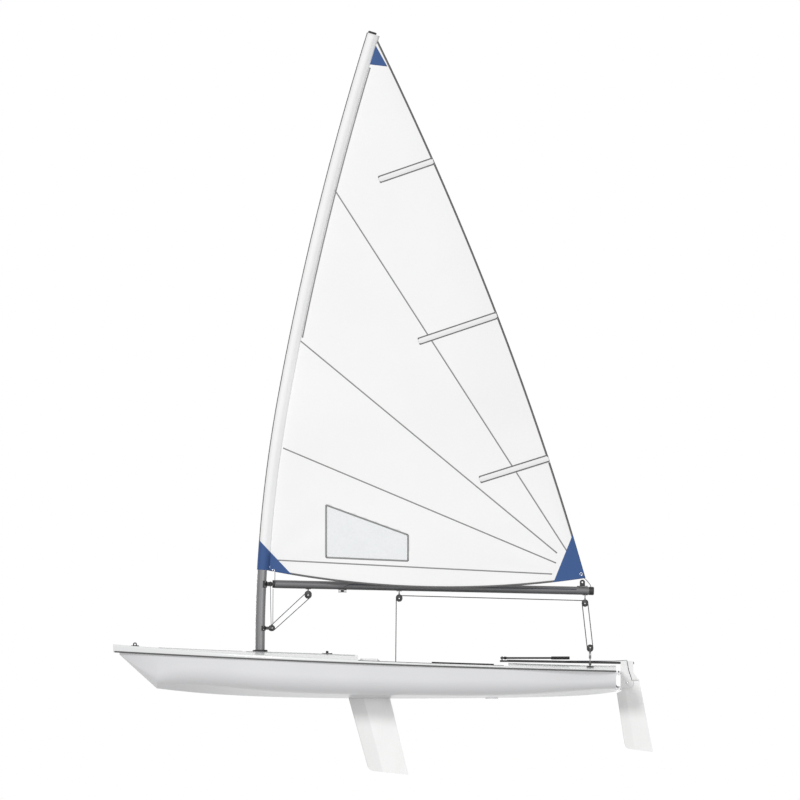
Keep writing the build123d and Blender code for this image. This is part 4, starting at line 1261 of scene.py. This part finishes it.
def makeRubStrip():
    path = []
    for x in evenSteps(rubStrip["front"], rubStrip["aft"], rubStrip["count"]):
        start = Vector((x, -2, sheerZ(x) + rubStrip["height"]))
        found, place, normal, index = bpy.data.objects["deck_moulding"].ray_cast(start, Vector((0, 1, 0)))
        if found:
            path.append(place)
    loop = path + [Vector((point.x, -point.y, point.z)) for point in reversed(path)]
    total = len(loop)
    verts = []
    for index, spot in enumerate(loop):
        along = (loop[(index + 1) % total] - loop[index - 1]).normalized()
        out = Vector((along.y, -along.x, 0)).normalized() * rubStrip["proud"]
        verts += [spot + out * reach + Vector((0, 0, rise * rubStrip["tall"]))
                  for reach, rise in rubStrip["profile"]]
    faces = quads(total, len(rubStrip["profile"]), True, True)
    piece = meshPiece("rubStrip", verts, faces, "hull", "dullPlastic")
    tidyMesh(piece, 0.00001)
    smoothTo(piece, 45)


cockpit = {"front": -0.020, "aft": 1.160, "half": 0.300, "corner": 0.090, "consoleAft": 0.190,
           "consoleHalf": 0.095, "consoleCorner": 0.0475, "trim": 0.0035, "lift": 0.0005}


def cockpitEdge():
    front, aft, side, corner = (cockpit[key] for key in ("front", "aft", "half", "corner"))
    console, small = cockpit["consoleHalf"], cockpit["consoleCorner"]
    half = arcSpots((cockpit["consoleAft"] - small, console - small), small, 0, 90, 8)
    half += [(0.08, console), (front, console)]
    half += arcSpots((front + corner, side - corner), corner, 180, 90, 8)
    half += [(0.3, side), (0.6, side), (0.9, side)]
    half += arcSpots((aft - corner, side - corner), corner, 90, 0, 8)
    return half + [(x, -y) for x, y in reversed(half)]


def makeCockpitTrim():
    edge = [(x, y, 0) for x, y in cockpitEdge()]
    path = smoothRun(edge + edge[:1], 0.03)[:-1]
    rise = hullForm["railRise"] + cockpit["lift"]
    spots = [Vector((spot.x, spot.y, sheerZ(spot.x) + rise)) for spot in path]
    piece = tubeAlong("cockpitTrim", spots, cockpit["trim"], "rubber", "hull", 10, True)


strap = {"points": [(0.335, 0.0155), (0.400, 0.045), (0.470, 0.104), (0.560, 0.100), (0.700, 0.094),
                    (0.800, 0.0935), (0.950, 0.100), (1.120, 0.110), (1.1585, 0.110)],
         "half": 0.025, "thick": 0.003, "step": 0.015, "curl": 0.0012}


def makeToeStrap():
    spots = smoothRun([(x, 0, z) for x, z in strap["points"]], strap["step"])
    verts, uvs, run = [], [], 0.0
    for index, spot in enumerate(spots):
        run += (spot - spots[index - 1]).length if index else 0
        for share in (0, 0.1, 0.5, 0.9, 1):
            side = (share - 0.5) * 2
            verts.append((spot.x, side * strap["half"], spot.z - strap["curl"] * side * side))
            uvs.append((share, run))
    piece = meshPiece("toeStrap", verts, quads(len(spots), 5), "hull", "webbing", uvs)
    giveThickness(piece, strap["thick"])
    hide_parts("toe_strap")


makeRubStrip()
makeCockpitTrim()
makeToeStrap()
print("hull trimmed")


# Fasteners, eyelets and small fittings

def saddleRivets(z, gap):       # on the aft half of a saddle round the mast
    spots = []
    for side in radians((-50, 50)):
        out = Vector((math.cos(side), math.sin(side), 0))
        for rise in (-gap, gap):
            x = mastAt(mastTurn(z + rise)).x
            spots.append((Vector((x, 0, z + rise)) + out * 0.0463, out))
    return spots


def screwsUp(xs, ys, z, rise=lambda x: 0):
    return [(Vector((x, y, z + rise(x))), Vector((0, 0, 1))) for y in ys for x in xs]


def footScrews(x, ys, z, reach):
    return screwsUp((x - reach, x + reach), ys, z)


fasteners = [
    ("gooseneckRivets", "rig", 0.9, saddleRivets(0.868, 0.018)),
    ("vangRivets", "rig", 0.8, saddleRivets(0.500, 0.012)),
    ("bowEyeScrews", "hull", 0.9, footScrews(-1.917, (0,), 0.3566, 0.025)),
    ("cleatScrews", "hull", 0.9, footScrews(-0.313, (-0.038, 0.038), 0.2913, 0.035)),
    ("fairleadScrews", "hull", 0.9, footScrews(1.883, (-0.420, 0.420), 0.1831, 0.022)),
    ("gudgeonBolts", "hull", 1.1, [(Vector((2.1053, side, z)), Vector((1, 0, 0)))
                                   for side in (-0.017, 0.017) for z in (-0.008, 0.120)]),
    ("railScrews", "hull", 1.0, screwsUp((0.61, 0.82, 1.03), (-0.322, 0.322), 0.0418, sheerZ)),
]


def makeFasteners():
    master = turned("fastenerMaster", [(0.0040, -0.0006), (0.0040, 0.0006), (0.0034, 0.0014), (0.0024, 0.0018),
                                       (0.0014, 0.0018), (0.0012, 0.0008)], (0, 0, 0), "steel", 20)
    for name, body, size, spots in fasteners:
        heads = []
        for place, out in spots:
            turn = out.to_track_quat("Z", "Y").to_matrix().to_4x4()
            heads.append(copyOf(master, name, Matrix.Translation(place) @ turn @ Matrix.Scale(size, 4)))
        piece = joinPieces(heads, name)
        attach(piece, body)
    discard(master)


eyelets = [("clewEyelet", 1.808, 0.952, 0.011), ("cunninghamEyelet", -0.760, 0.982, 0.009),
           ("tackEyelet", -0.800, 1.012, 0.009)]


def makeEyelets():
    for name, x, z, radius in eyelets:
        rings = [ringBar(name, radius, 0.0026, (x, sailY(x, z) + side * 0.0032, z), "steel", (90, 0, 0))
                 for side in (-1, 1)]
        piece = joinPieces(rings, name)
        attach(piece, "rig")


nuts = {"place": (2.192, 0.0242, 0.045), "radius": 0.0078, "thick": 0.0046}


def makePivotNuts():
    made = []
    x, out, z = nuts["place"]
    for side in (-1, 1):
        nut = disc("pivotNut", nuts["radius"], nuts["thick"], (x, side * out, z), "steel", 6, (90, 0, 0))
        pick(nut, "FACE", lambda face: face.normal.y * side > 0.9)
        insetExtrude(0.0014, 0.0010)
        doneEditing()
        made.append(bevel(nut, 0.0004))
    piece = joinPieces(made, "pivotNuts")
    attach(piece, "rudder")


clam = {"x": 1.700, "z": 0.2222, "jaw": (0.046, 0.0085, 0.0046), "jawY": -0.0202, "gap": 0.0042,
        "back": (0.046, 0.0028, 0.010), "backY": -0.0174}


def makeClamCleat():        # the downhaul's cleat, with its two jaws, on the tiller's port side
    jaws = []
    for rise in (-clam["gap"], clam["gap"]):
        jaw = box("jaw", clam["jaw"], (clam["x"], clam["jawY"], clam["z"] + rise), "plastic")
        jaws.append(bevel(jaw, 0.0012, 3))
    jaws.append(box("jawBack", clam["back"], (clam["x"], clam["backY"], clam["z"]), "plastic"))
    piece = joinPieces(jaws, "clamCleat")
    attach(piece, "rudder")


cuff = {"place": (1.1635, 0, 0.251),
        "rings": [(0.0082, 0), (0.0112, 0.001), (0.0122, 0.003), (0.0122, 0.014), (0.0110, 0.016),
                  (0.0110, 0.018), (0.0098, 0.0195), (0.0098, 0.022), (0.0082, 0.0235)]}


def makeExtensionSleeve():      # a rubber sleeve round the extension, behind its joint
    sleeve = turned("extensionSleeve", cuff["rings"], cuff["place"], "rubber", 28, (0, 90, 0))
    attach(sleeve, "tiller_extension")


shoulder = {"front": 2.2435, "aft": 2.286, "low": 0.068, "top": 0.135, "out": 0.0170, "thick": 0.0036,
            "edge": 0.004}


def makeHeadShoulders():        # the rudder head's two cheeks slope down behind it, outside the blade
    plates = []
    middleX, middleZ = (shoulder["front"] + shoulder["aft"]) / 2, (shoulder["low"] + shoulder["top"]) / 2
    size = (shoulder["aft"] - shoulder["front"], shoulder["thick"], shoulder["top"] - shoulder["low"])
    for side in (-1, 1):
        plate = box("headShoulder", size, (middleX, side * shoulder["out"], middleZ), "foil")
        pick(plate, "VERT", lambda vert: vert.co.x > middleX and vert.co.z > middleZ)
        bpy.ops.transform.translate(value=(0, 0, shoulder["edge"] - size[2]))
        doneEditing()
        plates.append(bevel(plate, 0.0008))
    piece = joinPieces(plates, "headShoulders")
    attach(piece, "rudder")


yoke = {"size": (0.0160, 0.0180, 0.0214), "place": (-0.8065, 0, 0.868)}


def makeGooseneckYoke():        # fills the space between the two lugs, from the saddle to the eye
    piece = bevel(box("gooseneckYoke", yoke["size"], yoke["place"], "plastic"), 0.0008)
    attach(piece, "rig")


makeFasteners()
makeExtensionSleeve()
makeHeadShoulders()
makeGooseneckYoke()
makeEyelets()
makePivotNuts()
makeClamCleat()
print("fittings made")
